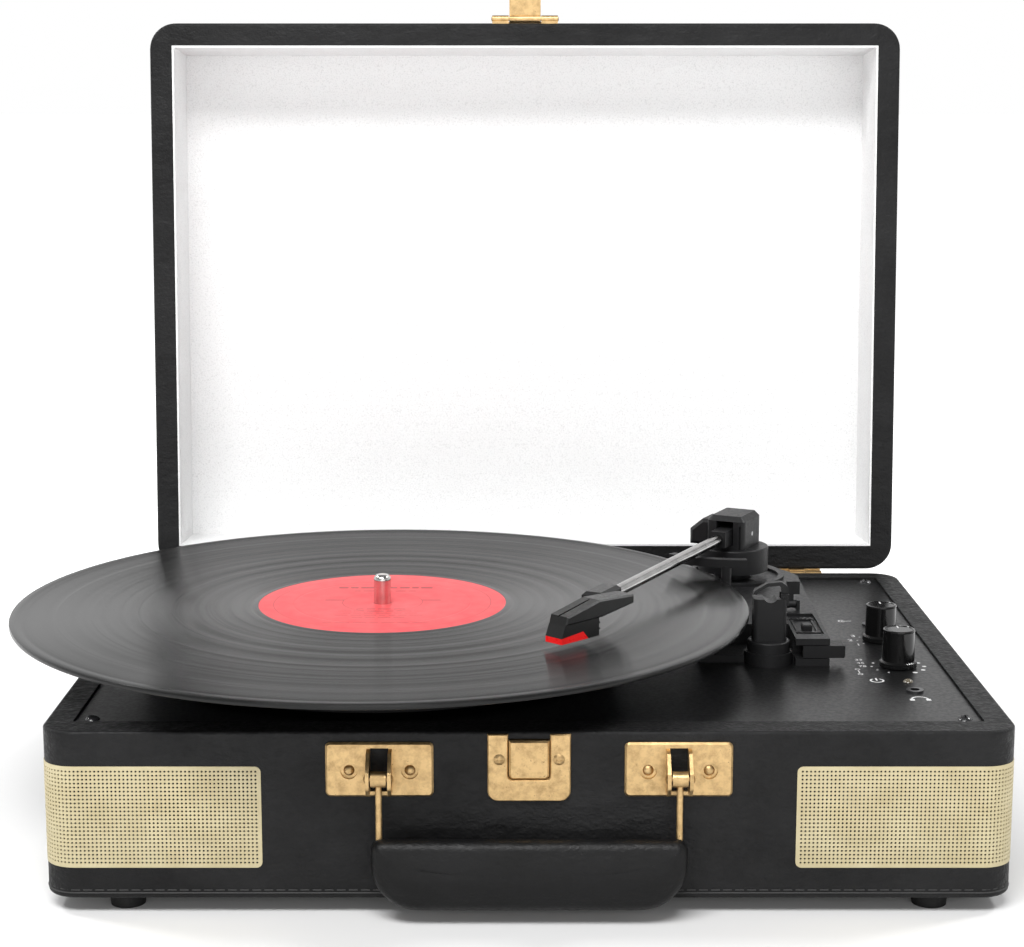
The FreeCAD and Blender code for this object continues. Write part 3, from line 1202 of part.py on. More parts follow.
def make_rear_sockets():
    inlet_x = d.rear_x + d.inlet_offset
    phono_x = [d.rear_x - d.inlet_offset + sign * d.phono_spacing / 2 for sign in SIDES]
    outline = rectangle((d.rear_x - d.rear_half_x, d.rear_x + d.rear_half_x),
                        (rear_z - d.rear_half_z, rear_z + d.rear_half_z))
    plate = prism("RearSheet", "XZ", (half_depth, half_depth + d.rear_sheet), outline,
                  rounds=[(2.5, outline)])
    inside = half_depth - 6
    through = 6 + d.rear_sheet
    openings = [rod(d.phono_radius, (x, inside, rear_z), through, "+Y") for x in phono_x]
    openings.append(rod(d.inlet_radius, (inlet_x, inside, rear_z), through, "+Y"))
    piece("rear_plate", cut(plate, *openings))
    face = half_depth + d.rear_sheet
    phonos = []
    for x in phono_x:
        sleeve = rod(d.phono_radius, (x, inside, rear_z), through + d.phono_reach, "+Y")
        flange = rod(d.phono_radius + 1.5, (x, face, rear_z), 1, "+Y")
        bore = rod(d.phono_bore, (x, face + d.phono_reach, rear_z), 10, "-Y")
        phonos.append(cut(fuse(sleeve, flange), bore))
    piece("phono_jacks", group(*phonos))
    mouth = face + 1.2
    sleeve = rod(d.inlet_radius, (inlet_x, inside - 4, rear_z), mouth - inside + 4, "+Y")
    flange = rod(d.inlet_radius + 1, (inlet_x, face, rear_z), 1.2, "+Y")
    bore = rod(d.inlet_bore, (inlet_x, mouth, rear_z), d.inlet_depth, "-Y")
    contact = rod(d.inlet_pin, (inlet_x, mouth - d.inlet_depth, rear_z), d.inlet_depth - 1, "+Y")
    piece("power_inlet", fuse(cut(fuse(sleeve, flange), bore), contact))


def make_circuit_board():
    low = floor_top + d.pillar_height
    x0 = cavity_x - 18 - d.board_length
    y0 = cavity_back - 18 - d.board_depth
    piece("circuit_board", group(box((x0, x0 + d.board_length), (y0, y0 + d.board_depth),
                                     (low, low + d.board_sheet))))


MAKERS = (
    make_case_shell, make_case_floor, make_feet, make_deck, make_grilles, make_speakers, make_latch,
    make_brass_screws, make_handle, make_hinges, make_lid, make_hasp, make_platter, make_motor,
    make_belt, make_tonearm_base, make_tonearm_pivot, make_arm, make_head, make_arm_rest, make_cueing,
    make_switches, make_knobs, make_sockets, make_rear_sockets, make_circuit_board,
)


def check_document():
    """Stops the build at any failed object or broken shape."""
    for thing in doc.Objects:
        if "Invalid" in thing.State or "Error" in thing.State:
            raise ValueError(f"{thing.Name} ({thing.Label}) failed: {thing.State}")
    for name, thing in pieces.items():
        if thing.Shape.isNull() or not thing.Shape.isValid():
            raise ValueError(f"{name} has no valid shape")


def write_pieces():
    os.makedirs("parts", exist_ok=True)
    for name, thing in pieces.items():
        thing.Shape.exportStep(f"parts/{name}.step")
        print(f"{name}: {len(thing.Shape.Solids)} solids, {thing.Shape.Volume:.0f} mm3")


for maker in MAKERS:
    maker()
doc.recompute()
check_document()
write_pieces()
print(len(pieces), "sub-parts")
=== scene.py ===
"""Looks of the suitcase record player: materials on the CAD pieces, and the detail pieces around them."""

import json
import math
import random

import bmesh
import bpy
from mathutils import Matrix, Vector


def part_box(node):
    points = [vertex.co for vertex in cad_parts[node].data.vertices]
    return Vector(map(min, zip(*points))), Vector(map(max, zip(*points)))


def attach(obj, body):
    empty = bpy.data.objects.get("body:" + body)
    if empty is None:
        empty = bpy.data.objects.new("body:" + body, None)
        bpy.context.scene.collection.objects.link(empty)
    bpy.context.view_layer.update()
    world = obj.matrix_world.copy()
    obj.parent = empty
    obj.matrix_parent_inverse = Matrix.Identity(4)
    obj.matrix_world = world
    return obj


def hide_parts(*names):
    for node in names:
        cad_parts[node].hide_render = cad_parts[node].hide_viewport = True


MM = 0.001
SIDES = (-1, 1)
LID_OPEN = math.radians(94.54)
CORNER_RADIUS = 12 * MM
SHARP_EDGE = math.radians(35)
WELT_RADIUS = 0.28 * MM
STITCH_RADIUS = 0.24 * MM
STITCH_PITCH = 4.4 * MM
RECORD_HOLE = 3.65 * MM
OFF_AXIS = Vector((0.31, 0.17, 0.94))
PRINT_BELOW = 0.02 * MM
PRINT_ABOVE = 0.03 * MM

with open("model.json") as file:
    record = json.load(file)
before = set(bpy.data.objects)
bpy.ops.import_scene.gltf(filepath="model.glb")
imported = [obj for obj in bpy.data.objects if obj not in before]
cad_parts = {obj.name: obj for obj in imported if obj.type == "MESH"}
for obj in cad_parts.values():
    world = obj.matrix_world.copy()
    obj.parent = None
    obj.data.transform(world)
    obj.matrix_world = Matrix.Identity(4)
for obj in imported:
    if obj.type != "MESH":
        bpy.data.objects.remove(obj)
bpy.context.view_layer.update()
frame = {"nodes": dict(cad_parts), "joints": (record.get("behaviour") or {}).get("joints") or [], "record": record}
joints = {joint["name"]: joint for joint in frame["joints"]}
random.seed(7)


# ---------------------------------------------------------------- materials

class Paint:
    """A Principled material, with short calls that add and join its nodes."""

    def __init__(self, name, color, roughness, metallic=0.0, **sockets):
        self.material = bpy.data.materials.new(name)
        self.material.use_nodes = True
        self.tree = self.material.node_tree
        self.shader = self.tree.nodes["Principled BSDF"]
        self.set_color(color)
        self.shader.inputs["Roughness"].default_value = roughness
        self.shader.inputs["Metallic"].default_value = metallic
        for socket, value in sockets.items():
            self.shader.inputs[socket.replace("_", " ")].default_value = value
        self.height = None

    def add(self, kind, **settings):
        node = self.tree.nodes.new(f"ShaderNode{kind}")
        for key, value in settings.items():
            setattr(node, key, value)
        return node

    def join(self, value, socket):
        """Links a node's output to a socket, or sets the socket's own value."""
        if isinstance(value, bpy.types.NodeSocket):
            self.tree.links.new(value, socket)
        else:
            socket.default_value = value

    def set_color(self, color):
        if not isinstance(color, bpy.types.NodeSocket):
            color = (*color, 1.0)
        self.join(color, self.shader.inputs["Base Color"])

    def place(self, stretch=(1, 1, 1)):
        """Object coordinates, in metres, stretched along the axes."""
        mapping = self.add("Mapping")
        mapping.inputs["Scale"].default_value = stretch
        self.join(self.add("TexCoord").outputs["Object"], mapping.inputs["Vector"])
        return mapping.outputs["Vector"]

    def noise(self, scale, detail=3.0, roughness=0.5, stretch=(1, 1, 1)):
        node = self.add("TexNoise")
        node.inputs["Scale"].default_value = scale
        node.inputs["Detail"].default_value = detail
        node.inputs["Roughness"].default_value = roughness
        self.join(self.place(stretch), node.inputs["Vector"])
        return node.outputs["Fac"]

    def cells(self, scale, feature="F1"):
        node = self.add("TexVoronoi", feature=feature)
        node.inputs["Scale"].default_value = scale
        self.join(self.place(), node.inputs["Vector"])
        return node.outputs["Distance"]

    def maths(self, operation, first, second=0.0, third=0.0):
        node = self.add("Math", operation=operation)
        for value, socket in zip((first, second, third), node.inputs):
            self.join(value, socket)
        return node.outputs["Value"]

    def between(self, value, low, high, new_low=0.0, new_high=1.0):
        node = self.add("MapRange")
        for socket, number in zip(node.inputs, (value, low, high, new_low, new_high)):
            self.join(number, socket)
        return node.outputs["Result"]

    def blend(self, factor, first, second):
        node = self.add("Mix", data_type="RGBA")
        colors = [value if isinstance(value, bpy.types.NodeSocket) else (*value, 1.0)
                  for value in (first, second)]
        self.join(factor, node.inputs["Factor"])
        self.join(colors[0], node.inputs[6])
        self.join(colors[1], node.inputs[7])
        return node.outputs[2]

    def radius(self):
        """Distance from the object's own upright axis, in metres."""
        split = self.add("SeparateXYZ")
        self.join(self.place(), split.inputs["Vector"])
        squares = [self.maths("MULTIPLY", split.outputs[axis], split.outputs[axis]) for axis in "XY"]
        return self.maths("SQRT", self.maths("ADD", *squares))

    def rings(self, radius, per_metre, detail):
        """Noise that changes only with the distance from the upright axis."""
        node = self.add("TexNoise", noise_dimensions="1D")
        node.inputs["Scale"].default_value = 1.0
        node.inputs["Detail"].default_value = detail
        self.join(self.maths("MULTIPLY", radius, per_metre), node.inputs["W"])
        return node.outputs["Fac"]

    def rough(self, value, low, high):
        """Roughness between two values, following a 0 to 1 pattern."""
        self.join(self.between(value, 0.3, 0.7, low, high), self.shader.inputs["Roughness"])

    def bump(self, height, depth, strength=1.0):
        """Adds relief of this depth in metres on top of the relief already there."""
        node = self.add("Bump")
        node.inputs["Strength"].default_value = strength
        node.inputs["Distance"].default_value = depth
        self.join(height, node.inputs["Height"])
        if self.height is not None:
            self.join(self.height, node.inputs["Normal"])
        self.height = node.outputs["Normal"]
        self.join(self.height, self.shader.inputs["Normal"])


def leatherette(name, dark, light, rough_range, crease=1.0):
    """Coated cloth: a pebble grain, soft creases and worn lighter patches."""
    paint = Paint(name, dark, 0.5, Specular_IOR_Level=0.2)
    patches = paint.noise(28, 5, 0.6)
    paint.set_color(paint.blend(paint.between(patches, 0.35, 0.72), dark, light))
    paint.rough(paint.noise(420, 2), *rough_range)
    paint.bump(paint.cells(900, "SMOOTH_F1"), 0.00028 * crease, 0.55)
    paint.bump(paint.noise(2600, 2), 0.0001, 0.35)
    paint.bump(paint.noise(75, 6, 0.62, (1, 1, 1.8)), 0.0022 * crease, 0.6)
    return paint.material


def moulded(name, color, roughness, grain=0.00005, specular=0.24):
    """Moulded plastic with a fine spark-eroded grain."""
    paint = Paint(name, color, roughness, Specular_IOR_Level=specular)
    tint = [channel * 1.3 + 0.001 for channel in color]
    paint.set_color(paint.blend(paint.between(paint.noise(60, 4), 0.3, 0.75), color, tint))
    paint.rough(paint.noise(700, 2), roughness - 0.05, roughness + 0.07)
    paint.bump(paint.noise(3200, 2), grain, 0.5)
    return paint.material


def aged_brass(name, clean, tarnish, roughness):
    """Plated brass, mottled with tarnish, pitted and lightly brushed."""
    paint = Paint(name, clean, roughness, metallic=1.0)
    clouds = paint.between(paint.noise(260, 6, 0.72), 0.42, 0.72)
    mottled = paint.blend(clouds, clean, tarnish)
    pits = paint.between(paint.noise(950, 3, 0.6), 0.66, 0.74)
    spotted = paint.blend(pits, mottled, [channel * 0.28 for channel in tarnish])
    paint.set_color(spotted)
    paint.rough(paint.noise(240, 5, 0.65), roughness, roughness + 0.2)
    paint.bump(paint.noise(520, 4, 0.6), 0.00012, 0.5)
    paint.bump(paint.noise(900, 2, 0.5, (0.12, 1, 1)), 0.00004, 0.3)
    return paint.material


def metal(name, color, roughness, brush=(1, 1, 1), brushed=0.00003):
    """Bare or plated metal, brushed along the axis that brush makes short."""
    paint = Paint(name, color, roughness, metallic=1.0)
    dull = [channel * 0.7 for channel in color]
    paint.set_color(paint.blend(paint.between(paint.noise(150, 4), 0.35, 0.8), color, dull))
    paint.rough(paint.noise(1200, 3, 0.5, brush), roughness - 0.04, roughness + 0.1)
    paint.bump(paint.noise(2200, 2, 0.5, brush), brushed, 0.4)
    return paint.material


def cloth(name, color, shade, depth=0.00025, cloudy=0.5):
    """Flocked or pressed fibre with specks of shade."""
    paint = Paint(name, color, 0.92, Specular_IOR_Level=0.15)
    specks = paint.between(paint.noise(1500, 3, 0.65), 0.5, 0.78)
    clouds = paint.between(paint.noise(45, 4), 0.35, 0.8, 0.0, cloudy)
    paint.set_color(paint.blend(paint.maths("MAXIMUM", specks, clouds), color, shade))
    paint.bump(paint.noise(1100, 5, 0.7), depth, 0.8)
    return paint.material


def two_tone(name, first, second, roughness, pattern, limits=(0.0, 1.0), relief=None, specular=0.5):
    """Paint, ink or thread that drifts between two colours; relief is (scale, depth, strength)."""
    paint = Paint(name, first, roughness, Specular_IOR_Level=specular)
    paint.set_color(paint.blend(paint.between(paint.noise(*pattern), *limits), first, second))
    if relief:
        scale, depth, strength = relief
        paint.bump(paint.noise(scale, 2), depth, strength)
    return paint.material


def vinyl():
    """Pressed record: fine grooves round the spindle that smear a highlight outwards."""
    paint = Paint("vinyl", (0.006, 0.006, 0.006), 0.2, Specular_IOR_Level=0.28, Anisotropic=1.0,
                  Anisotropic_Rotation=0.25)
    tangent = paint.add("Tangent", direction_type="RADIAL", axis="Z")
    paint.join(tangent.outputs["Tangent"], paint.shader.inputs["Tangent"])
    radius = paint.radius()
    rings = paint.rings(radius, 1400, 4.0)
    loud = paint.rings(radius, 170, 2.0)
    grooved = paint.between(radius, 0.0535, 0.0545)
    paint.rough(paint.maths("MULTIPLY", loud, grooved), 0.2, 0.27)
    paint.bump(paint.maths("MULTIPLY", rings, grooved), 0.00003, 0.4)
    paint.bump(paint.noise(120, 3), 0.00008, 0.08)
    return paint.material


def record_label():
    """Printed paper: a warm red with fainter print rings and a pressed ridge."""
    red = (0.7, 0.055, 0.065)
    paint = Paint("record_label", red, 0.42, Specular_IOR_Level=0.22)
    radius = paint.radius()
    faded = paint.blend(paint.between(paint.noise(130, 4), 0.35, 0.7), red, (0.74, 0.085, 0.09))
    ring = paint.maths("COMPARE", radius, 0.0448, 0.0002)
    inner = paint.maths("COMPARE", radius, 0.0165, 0.0002)
    printed = paint.maths("MAXIMUM", ring, inner)
    paint.set_color(paint.blend(paint.maths("MULTIPLY", printed, 0.6), faded, (0.25, 0.02, 0.02)))
    ridge = paint.between(paint.maths("ABSOLUTE", paint.maths("SUBTRACT", radius, 0.0365)), 0, 0.0006)
    paint.bump(ridge, 0.00012, 0.7)
    paint.bump(paint.noise(1500, 3), 0.00003, 0.4)
    return paint.material


def circuit_green():
    """Printed board: green lacquer over copper tracks."""
    paint = Paint("circuit_green", (0.015, 0.11, 0.045), 0.35)
    tracks = paint.add("TexBrick")
    tracks.inputs["Scale"].default_value = 160
    tracks.inputs["Mortar Size"].default_value = 0.03
    paint.join(paint.place(), tracks.inputs["Vector"])
    paint.set_color(paint.blend(tracks.outputs["Fac"], (0.012, 0.09, 0.035), (0.03, 0.2, 0.08)))
    paint.bump(tracks.outputs["Fac"], 0.00004, 0.6)
    return paint.material


def make_materials():
    """Every material by name: one for each slot in the record, then those of the detail pieces."""
    dark = (0.006, 0.006, 0.0063)
    plastic = (0.009, 0.009, 0.0095)
    return {
        "leatherette": leatherette("leatherette", dark, (0.014, 0.014, 0.0145), (0.42, 0.6)),
        "grip_leather": leatherette("grip_leather", (0.0045, 0.0045, 0.0045), (0.008, 0.008, 0.0085),
                                    (0.36, 0.5), 0.5),
        "base_board": cloth("base_board", (0.035, 0.03, 0.027), (0.012, 0.01, 0.01)),
        "deck_black": moulded("deck_black", (0.004, 0.004, 0.0042), 0.33, 0.00004, 0.3),
        "foot_rubber": moulded("foot_rubber", (0.012, 0.012, 0.012), 0.7, 0.0001, 0.25),
        "plated_steel": metal("plated_steel", (0.55, 0.55, 0.56), 0.3),
        "black_steel": moulded("black_steel", (0.012, 0.012, 0.013), 0.22, 0.00002, 0.7),
        "speaker_steel": moulded("speaker_steel", (0.03, 0.03, 0.032), 0.4),
        "speaker_paper": cloth("speaker_paper", (0.02, 0.02, 0.02), (0.045, 0.042, 0.04)),
        "aged_brass": aged_brass("aged_brass", (0.62, 0.43, 0.21), (0.36, 0.24, 0.11), 0.34),
        "lid_cloth": cloth("lid_cloth", (0.88, 0.88, 0.88), (0.66, 0.66, 0.66), 0.0004, 0.08),
        "spindle_metal": metal("spindle_metal", (0.72, 0.7, 0.68), 0.12, (1, 1, 0.2), 0.00001),
        "bearing_metal": metal("bearing_metal", (0.6, 0.44, 0.22), 0.3),
        "platter_plastic": moulded("platter_plastic", plastic, 0.35),
        "mat_felt": cloth("mat_felt", (0.012, 0.012, 0.012), (0.04, 0.04, 0.04)),
        "vinyl": vinyl(),
        "label_paper": record_label(),
        "motor_steel": metal("motor_steel", (0.42, 0.42, 0.43), 0.35, (1, 1, 0.15)),
        "pulley_brass": aged_brass("pulley_brass", (0.66, 0.47, 0.2), (0.4, 0.27, 0.12), 0.28),
        "belt_rubber": moulded("belt_rubber", (0.01, 0.01, 0.01), 0.6, 0.00008, 0.3),
        "arm_plastic": moulded("arm_plastic", plastic, 0.42, 0.00006),
        "arm_silver": metal("arm_silver", (0.36, 0.355, 0.35), 0.12, (1, 1, 1), 0.000004),
        "head_plastic": moulded("head_plastic", (0.006, 0.006, 0.006), 0.34, 0.00004, 0.3),
        "stylus_red": moulded("stylus_red", (0.72, 0.012, 0.012), 0.3, 0.00002),
        "knob_plastic": moulded("knob_plastic", (0.0035, 0.0035, 0.0035), 0.12, 0.00001, 0.34),
        "pot_metal": metal("pot_metal", (0.4, 0.4, 0.41), 0.35),
        "lamp_lens": moulded("lamp_lens", (0.1, 0.085, 0.06), 0.18, 0.00001, 0.7),
        "socket_metal": metal("socket_metal", (0.16, 0.16, 0.165), 0.3),
        "socket_plastic": moulded("socket_plastic", (0.012, 0.012, 0.012), 0.4),
        "board_green": circuit_green(),
        "cream_metal": two_tone("cream_metal", (0.54, 0.475, 0.3), (0.47, 0.4, 0.235), 0.5, (90, 4),
                                (0.35, 0.75), (1600, 0.00003, 0.4), 0.25),
        "white_ink": two_tone("white_ink", (0.82, 0.82, 0.82), (0.55, 0.55, 0.55), 0.5, (2500, 3),
                              (0.3, 0.6), (3000, 0.00002, 0.3)),
        "thread": two_tone("thread", (0.012, 0.012, 0.012), (0.05, 0.05, 0.05), 0.6, (4000, 2),
                           relief=(5200, 0.00006, 0.7)),
        "label_print": two_tone("label_print", (0.16, 0.012, 0.012), (0.4, 0.04, 0.04), 0.5, (2600, 2)),
    }


materials = make_materials()


def dress_cad():
    """Gives each CAD node the material of the slot that the record names for it."""
    for part in frame["record"]["subparts"]:
        data = frame["nodes"][part["node"]].data
        data.materials.clear()
        data.materials.append(materials[part["material_slot"]])


# ---------------------------------------------------------------- mesh tools

def piece(name, mesh, body, slot, material=None, origin=(0, 0, 0), smooth=True):
    """Puts a bmesh, in metres, into the scene as a piece that rides on a body."""
    bmesh.ops.remove_doubles(mesh, verts=mesh.verts, dist=1e-7)
    bmesh.ops.recalc_face_normals(mesh, faces=mesh.faces)
    bmesh.ops.translate(mesh, verts=mesh.verts, vec=-Vector(origin))
    data = bpy.data.meshes.new(name)
    mesh.to_mesh(data)
    mesh.free()
    data.materials.append(materials[material or slot])
    for polygon in data.polygons:
        polygon.use_smooth = smooth
    thing = bpy.data.objects.new(name, data)
    thing.location = origin
    bpy.context.scene.collection.objects.link(thing)
    if smooth:
        data.set_sharp_from_angle(angle=SHARP_EDGE)
    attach(thing, body)
    return thing


def lathe(profile, centre, segments=96):
    """Turns (radius, height) points about an upright axis, in metres."""
    mesh = bmesh.new()
    rings = []
    for radius, height in profile:
        if radius < 1e-6:
            rings.append([mesh.verts.new((centre[0], centre[1], height))] * segments)
            continue
        ring = []
        for step in range(segments):
            angle = math.tau * step / segments
            ring.append(mesh.verts.new((centre[0] + radius * math.cos(angle),
                                        centre[1] + radius * math.sin(angle), height)))
        rings.append(ring)
    for low, high in zip(rings, rings[1:]):
        for step in range(segments):
            after = (step + 1) % segments
            corners = list(dict.fromkeys((low[step], low[after], high[after], high[step])))
            if len(corners) > 2:
                mesh.faces.new(corners)
    return mesh


def add_box(mesh, low, high, bevel=0.0):
    """Adds a box with rounded edges to a mesh."""
    centre = (Vector(low) + Vector(high)) / 2
    size = Vector(high) - Vector(low)
    place = Matrix.Translation(centre) @ Matrix.Diagonal((*size, 1))
    made = bmesh.ops.create_cube(mesh, size=1, matrix=place)
    if bevel:
        edges = list({edge for vert in made["verts"] for edge in vert.link_edges})
        bmesh.ops.bevel(mesh, geom=edges, offset=bevel, segments=2, affect="EDGES", profile=0.7)


def add_ring(mesh, centre, side, other, radius, sides):
    """A ring of points about a centre, in the plane of two directions."""
    angles = [math.tau * step / sides for step in range(sides)]
    return [mesh.verts.new(centre + (side * math.cos(angle) + other * math.sin(angle)) * radius)
            for angle in angles]


def join_rings(mesh, low, high):
    """Faces between two rings with the same number of points."""
    for step in range(len(low)):
        after = (step + 1) % len(low)
        mesh.faces.new((low[step], low[after], high[after], high[step]))


def add_capsule(mesh, start, end, radius, sides=8):
    """Adds a stitch: a short bar with rounded ends."""
    along = (end - start).normalized()
    side = along.orthogonal().normalized()
    other = along.cross(side)
    stations = [(start - along * radius * 0.7, 0.35), (start, 1), (end, 1),
                (end + along * radius * 0.7, 0.35)]
    rings = [add_ring(mesh, centre, side, other, radius * share, sides) for centre, share in stations]
    for low, high in zip(rings, rings[1:]):
        join_rings(mesh, low, high)
    mesh.faces.new(rings[0][::-1])
    mesh.faces.new(rings[-1])


def add_tube(mesh, path, radius, sides=10, closed=False):
    """Adds a round bead that follows the points of a path."""
    rings = []
    count = len(path)
    for index, centre in enumerate(path):
        before = path[index - 1] if closed or index else centre
        after = path[(index + 1) % count] if closed or index < count - 1 else centre
        along = (after - before).normalized()
        side = along.cross(OFF_AXIS).normalized()
        other = along.cross(side)
        rings.append(add_ring(mesh, centre, side, other, radius, sides))
    pairs = list(zip(rings, rings[1:]))
    if closed:
        pairs.append((rings[-1], rings[0]))
    else:
        mesh.faces.new(rings[0][::-1])
        mesh.faces.new(rings[-1])
    for low, high in pairs:
        join_rings(mesh, low, high)


def rounded_rectangle(low, high, radius, spacing):
    """Points round a rectangle with round corners, at an even spacing, in the XY plane."""
    (x0, y0), (x1, y1) = low, high
    runs = [((x1 - radius, y0 + radius), -90), ((x1 - radius, y1 - radius), 0),
            ((x0 + radius, y1 - radius), 90), ((x0 + radius, y0 + radius), 180)]
    coarse = []
    for (cx, cy), start in runs:
        for step in range(13):
            angle = math.radians(start + 90 * step / 12)
            coarse.append(Vector((cx + radius * math.cos(angle), cy + radius * math.sin(angle), 0)))
    return resample(coarse + coarse[:1], spacing)[:-1]


def resample(points, spacing):
    """Even steps along a line of points."""
    lengths = [(b - a).length for a, b in zip(points, points[1:])]
    total = sum(lengths)
    count = max(2, round(total / spacing))
    result = []
    run = 0
    passed = 0.0
    for step in range(count + 1):
        target = total * step / count
        while run < len(lengths) - 1 and passed + lengths[run] < target:
            passed += lengths[run]
            run += 1
        share = min(1.0, (target - passed) / max(lengths[run], 1e-9))
        result.append(points[run].lerp(points[run + 1], share))
    return result


# ---------------------------------------------------------------- case and lid

def lid_matrix():
    """Takes the closed lid, drawn about its hinge axis, to where it stands open."""
    hinge = Vector(joints["lid_hinge"]["pos_m"])
    return Matrix.Translation(hinge) @ Matrix.Rotation(-LID_OPEN, 4, "X")


def add_seam(name, body, outline, height, place=Matrix()):
    """A pressed bead round the edge with a row of stitches beside it."""
    bead = bmesh.new()
    path = [place @ (point + Vector((0, 0, height))) for point in outline]
    add_tube(bead, path, WELT_RADIUS, 8, closed=True)
    piece(f"{name}_welt", bead, body, "leatherette", "thread")
    stitches = bmesh.new()
    above = Vector((0, 0, height + 1.1 * MM))
    row = [place @ (point + above) for point in resample(outline, STITCH_PITCH)]
    for start, following in zip(row, row[1:]):
        add_capsule(stitches, start, start.lerp(following, 0.68), STITCH_RADIUS)
    piece(f"{name}_stitches", stitches, body, "leatherette", "thread")


def make_seams():
    """One seam low round the case and one round the rim of the lid."""
    spacing = 2 * MM
    low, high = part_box("case_shell")
    outline = rounded_rectangle(low[:2], high[:2], CORNER_RADIUS, spacing)
    add_seam("case_edge", "case", outline, low.z + 2.2 * MM)
    half = high.x
    depth = high.y - low.y
    back = -3.2 * MM
    lid_outline = rounded_rectangle((-half, back - depth), (half, back), CORNER_RADIUS, spacing)
    add_seam("lid_edge", "lid", lid_outline, 5.4 * MM, lid_matrix())


class GrillePath:
    """The line that a grille follows round its corner of the case, seen from above."""

    def __init__(self, side):
        low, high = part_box("grille_right" if side > 0 else "grille_left")
        self.side = side
        self.radius = 12.2 * MM
        self.inner = min(abs(low.x), abs(high.x))
        self.outer = max(abs(low.x), abs(high.x))
        self.front = low.y
        self.bottom = low.z
        self.height = high.z - low.z
        self.straight = self.outer - self.radius - self.inner
        self.bend = self.radius * math.pi / 2
        self.length = self.straight + self.bend + (high.y - low.y) - self.radius

    def at(self, along, up):
        """The point this far along the sheet and up it."""
        if along < self.straight:
            x, y = self.inner + along, self.front
        elif along < self.straight + self.bend:
            angle = (along - self.straight) / self.radius
            x = self.outer - self.radius + self.radius * math.sin(angle)
            y = self.front + self.radius - self.radius * math.cos(angle)
        else:
            x, y = self.outer, self.front + self.radius + along - self.straight - self.bend
        return Vector((self.side * x, y, self.bottom + up))


def make_grille(side, name, node):
    """Punched sheet metal: a grid of round holes inside a plain border with round corners."""
    path = GrillePath(side)
    margin = 1.15 * MM
    hole = 0.43 * MM
    pitch = 1.5 * MM
    columns = round((path.length - 2 * margin) / pitch)
    rows = round((path.height - 2 * margin) / pitch)
    step_u = (path.length - 2 * margin) / columns
    step_v = (path.height - 2 * margin) / rows
    mesh = bmesh.new()
    grid = [[mesh.verts.new(path.at(margin + i * step_u, margin + j * step_v))
             for j in range(rows + 1)] for i in range(columns + 1)]
    for i in range(columns):
        for j in range(rows):
            u = margin + (i + 0.5) * step_u
            v = margin + (j + 0.5) * step_v
            turns = [math.pi * (k - 3) / 4 for k in range(8)]
            rim = [mesh.verts.new(path.at(u + hole * math.cos(turn), v + hole * math.sin(turn)))
                   for turn in turns]
            corners = (grid[i][j], grid[i + 1][j], grid[i + 1][j + 1], grid[i][j + 1])
            for k in range(4):
                a, b, c = rim[2 * k], rim[2 * k + 1], rim[(2 * k + 2) % 8]
                mesh.faces.new((corners[k], corners[(k + 1) % 4], c, b, a))
    add_grille_border(mesh, path, grid, margin, step_u, step_v)
    bmesh.ops.recalc_face_normals(mesh, faces=mesh.faces)
    thing = piece(name, mesh, "case", "cream_metal", smooth=False)
    skin = thing.modifiers.new("thickness", "SOLIDIFY")
    skin.thickness = 0.5 * MM
    skin.offset = -1
    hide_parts(node)


def add_grille_border(mesh, path, grid, margin, step_u, step_v):
    """Joins the grid of holes to the sheet's outline."""
    columns = len(grid) - 1
    rows = len(grid[0]) - 1
    edge = [(i, 0) for i in range(columns)] + [(columns, j) for j in range(rows)]
    edge += [(i, rows) for i in range(columns, 0, -1)] + [(0, j) for j in range(rows, 0, -1)]
    corner = 2.2 * MM

    def outward(i, j):
        """The outline points beyond a point on the rim of the grid."""
        u = margin + i * step_u
        v = margin + j * step_v
        at_u = 0.0 if i == 0 else path.length if i == columns else None
        at_v = 0.0 if j == 0 else path.height if j == rows else None
        if at_u is None or at_v is None:
            return [(u if at_u is None else at_u, v if at_v is None else at_v)]
        cu = abs(at_u - corner)
        cv = abs(at_v - corner)
        towards = math.atan2(at_v - cv, at_u - cu)
        return [(cu + corner * math.cos(towards + turn), cv + corner * math.sin(towards + turn))
                for turn in (math.pi * k / 16 for k in range(-4, 5))]

    lines = [[mesh.verts.new(path.at(u, v)) for u, v in outward(i, j)] for i, j in edge]
    for index, (i, j) in enumerate(edge):
        following = (index + 1) % len(edge)
        here = grid[i][j]
        there = grid[edge[following][0]][edge[following][1]]
        for first, second in zip(lines[index], lines[index][1:]):
            mesh.faces.new((here, first, second))
        mesh.faces.new((here, lines[index][-1], lines[following][0], there))


def grip_outline(low, high):
    """Points round the grip, seen from the front, and the way out of it at each one."""
    large = 17 * MM
    small = 3.5 * MM
    outline = []
    for (cx, cz), start, radius in (((high.x - large, low.z + large), -90, large),
                                    ((high.x - small, high.z - small), 0, small),
                                    ((low.x + small, high.z - small), 90, small),
                                    ((low.x + large, low.z + large), 180, large)):
        for step in range(9):
            angle = math.radians(start + 90 * step / 8)
            outline.append(Vector((cx + radius * math.cos(angle), 0, cz + radius * math.sin(angle))))
    outline = resample(outline + outline[:1], 2.2 * MM)[:-1]
    normals = []
    for index, point in enumerate(outline):
        along = outline[(index + 1) % len(outline)] - outline[index - 1]
        normals.append(Vector((along.z, 0, -along.x)).normalized())
    return outline, normals


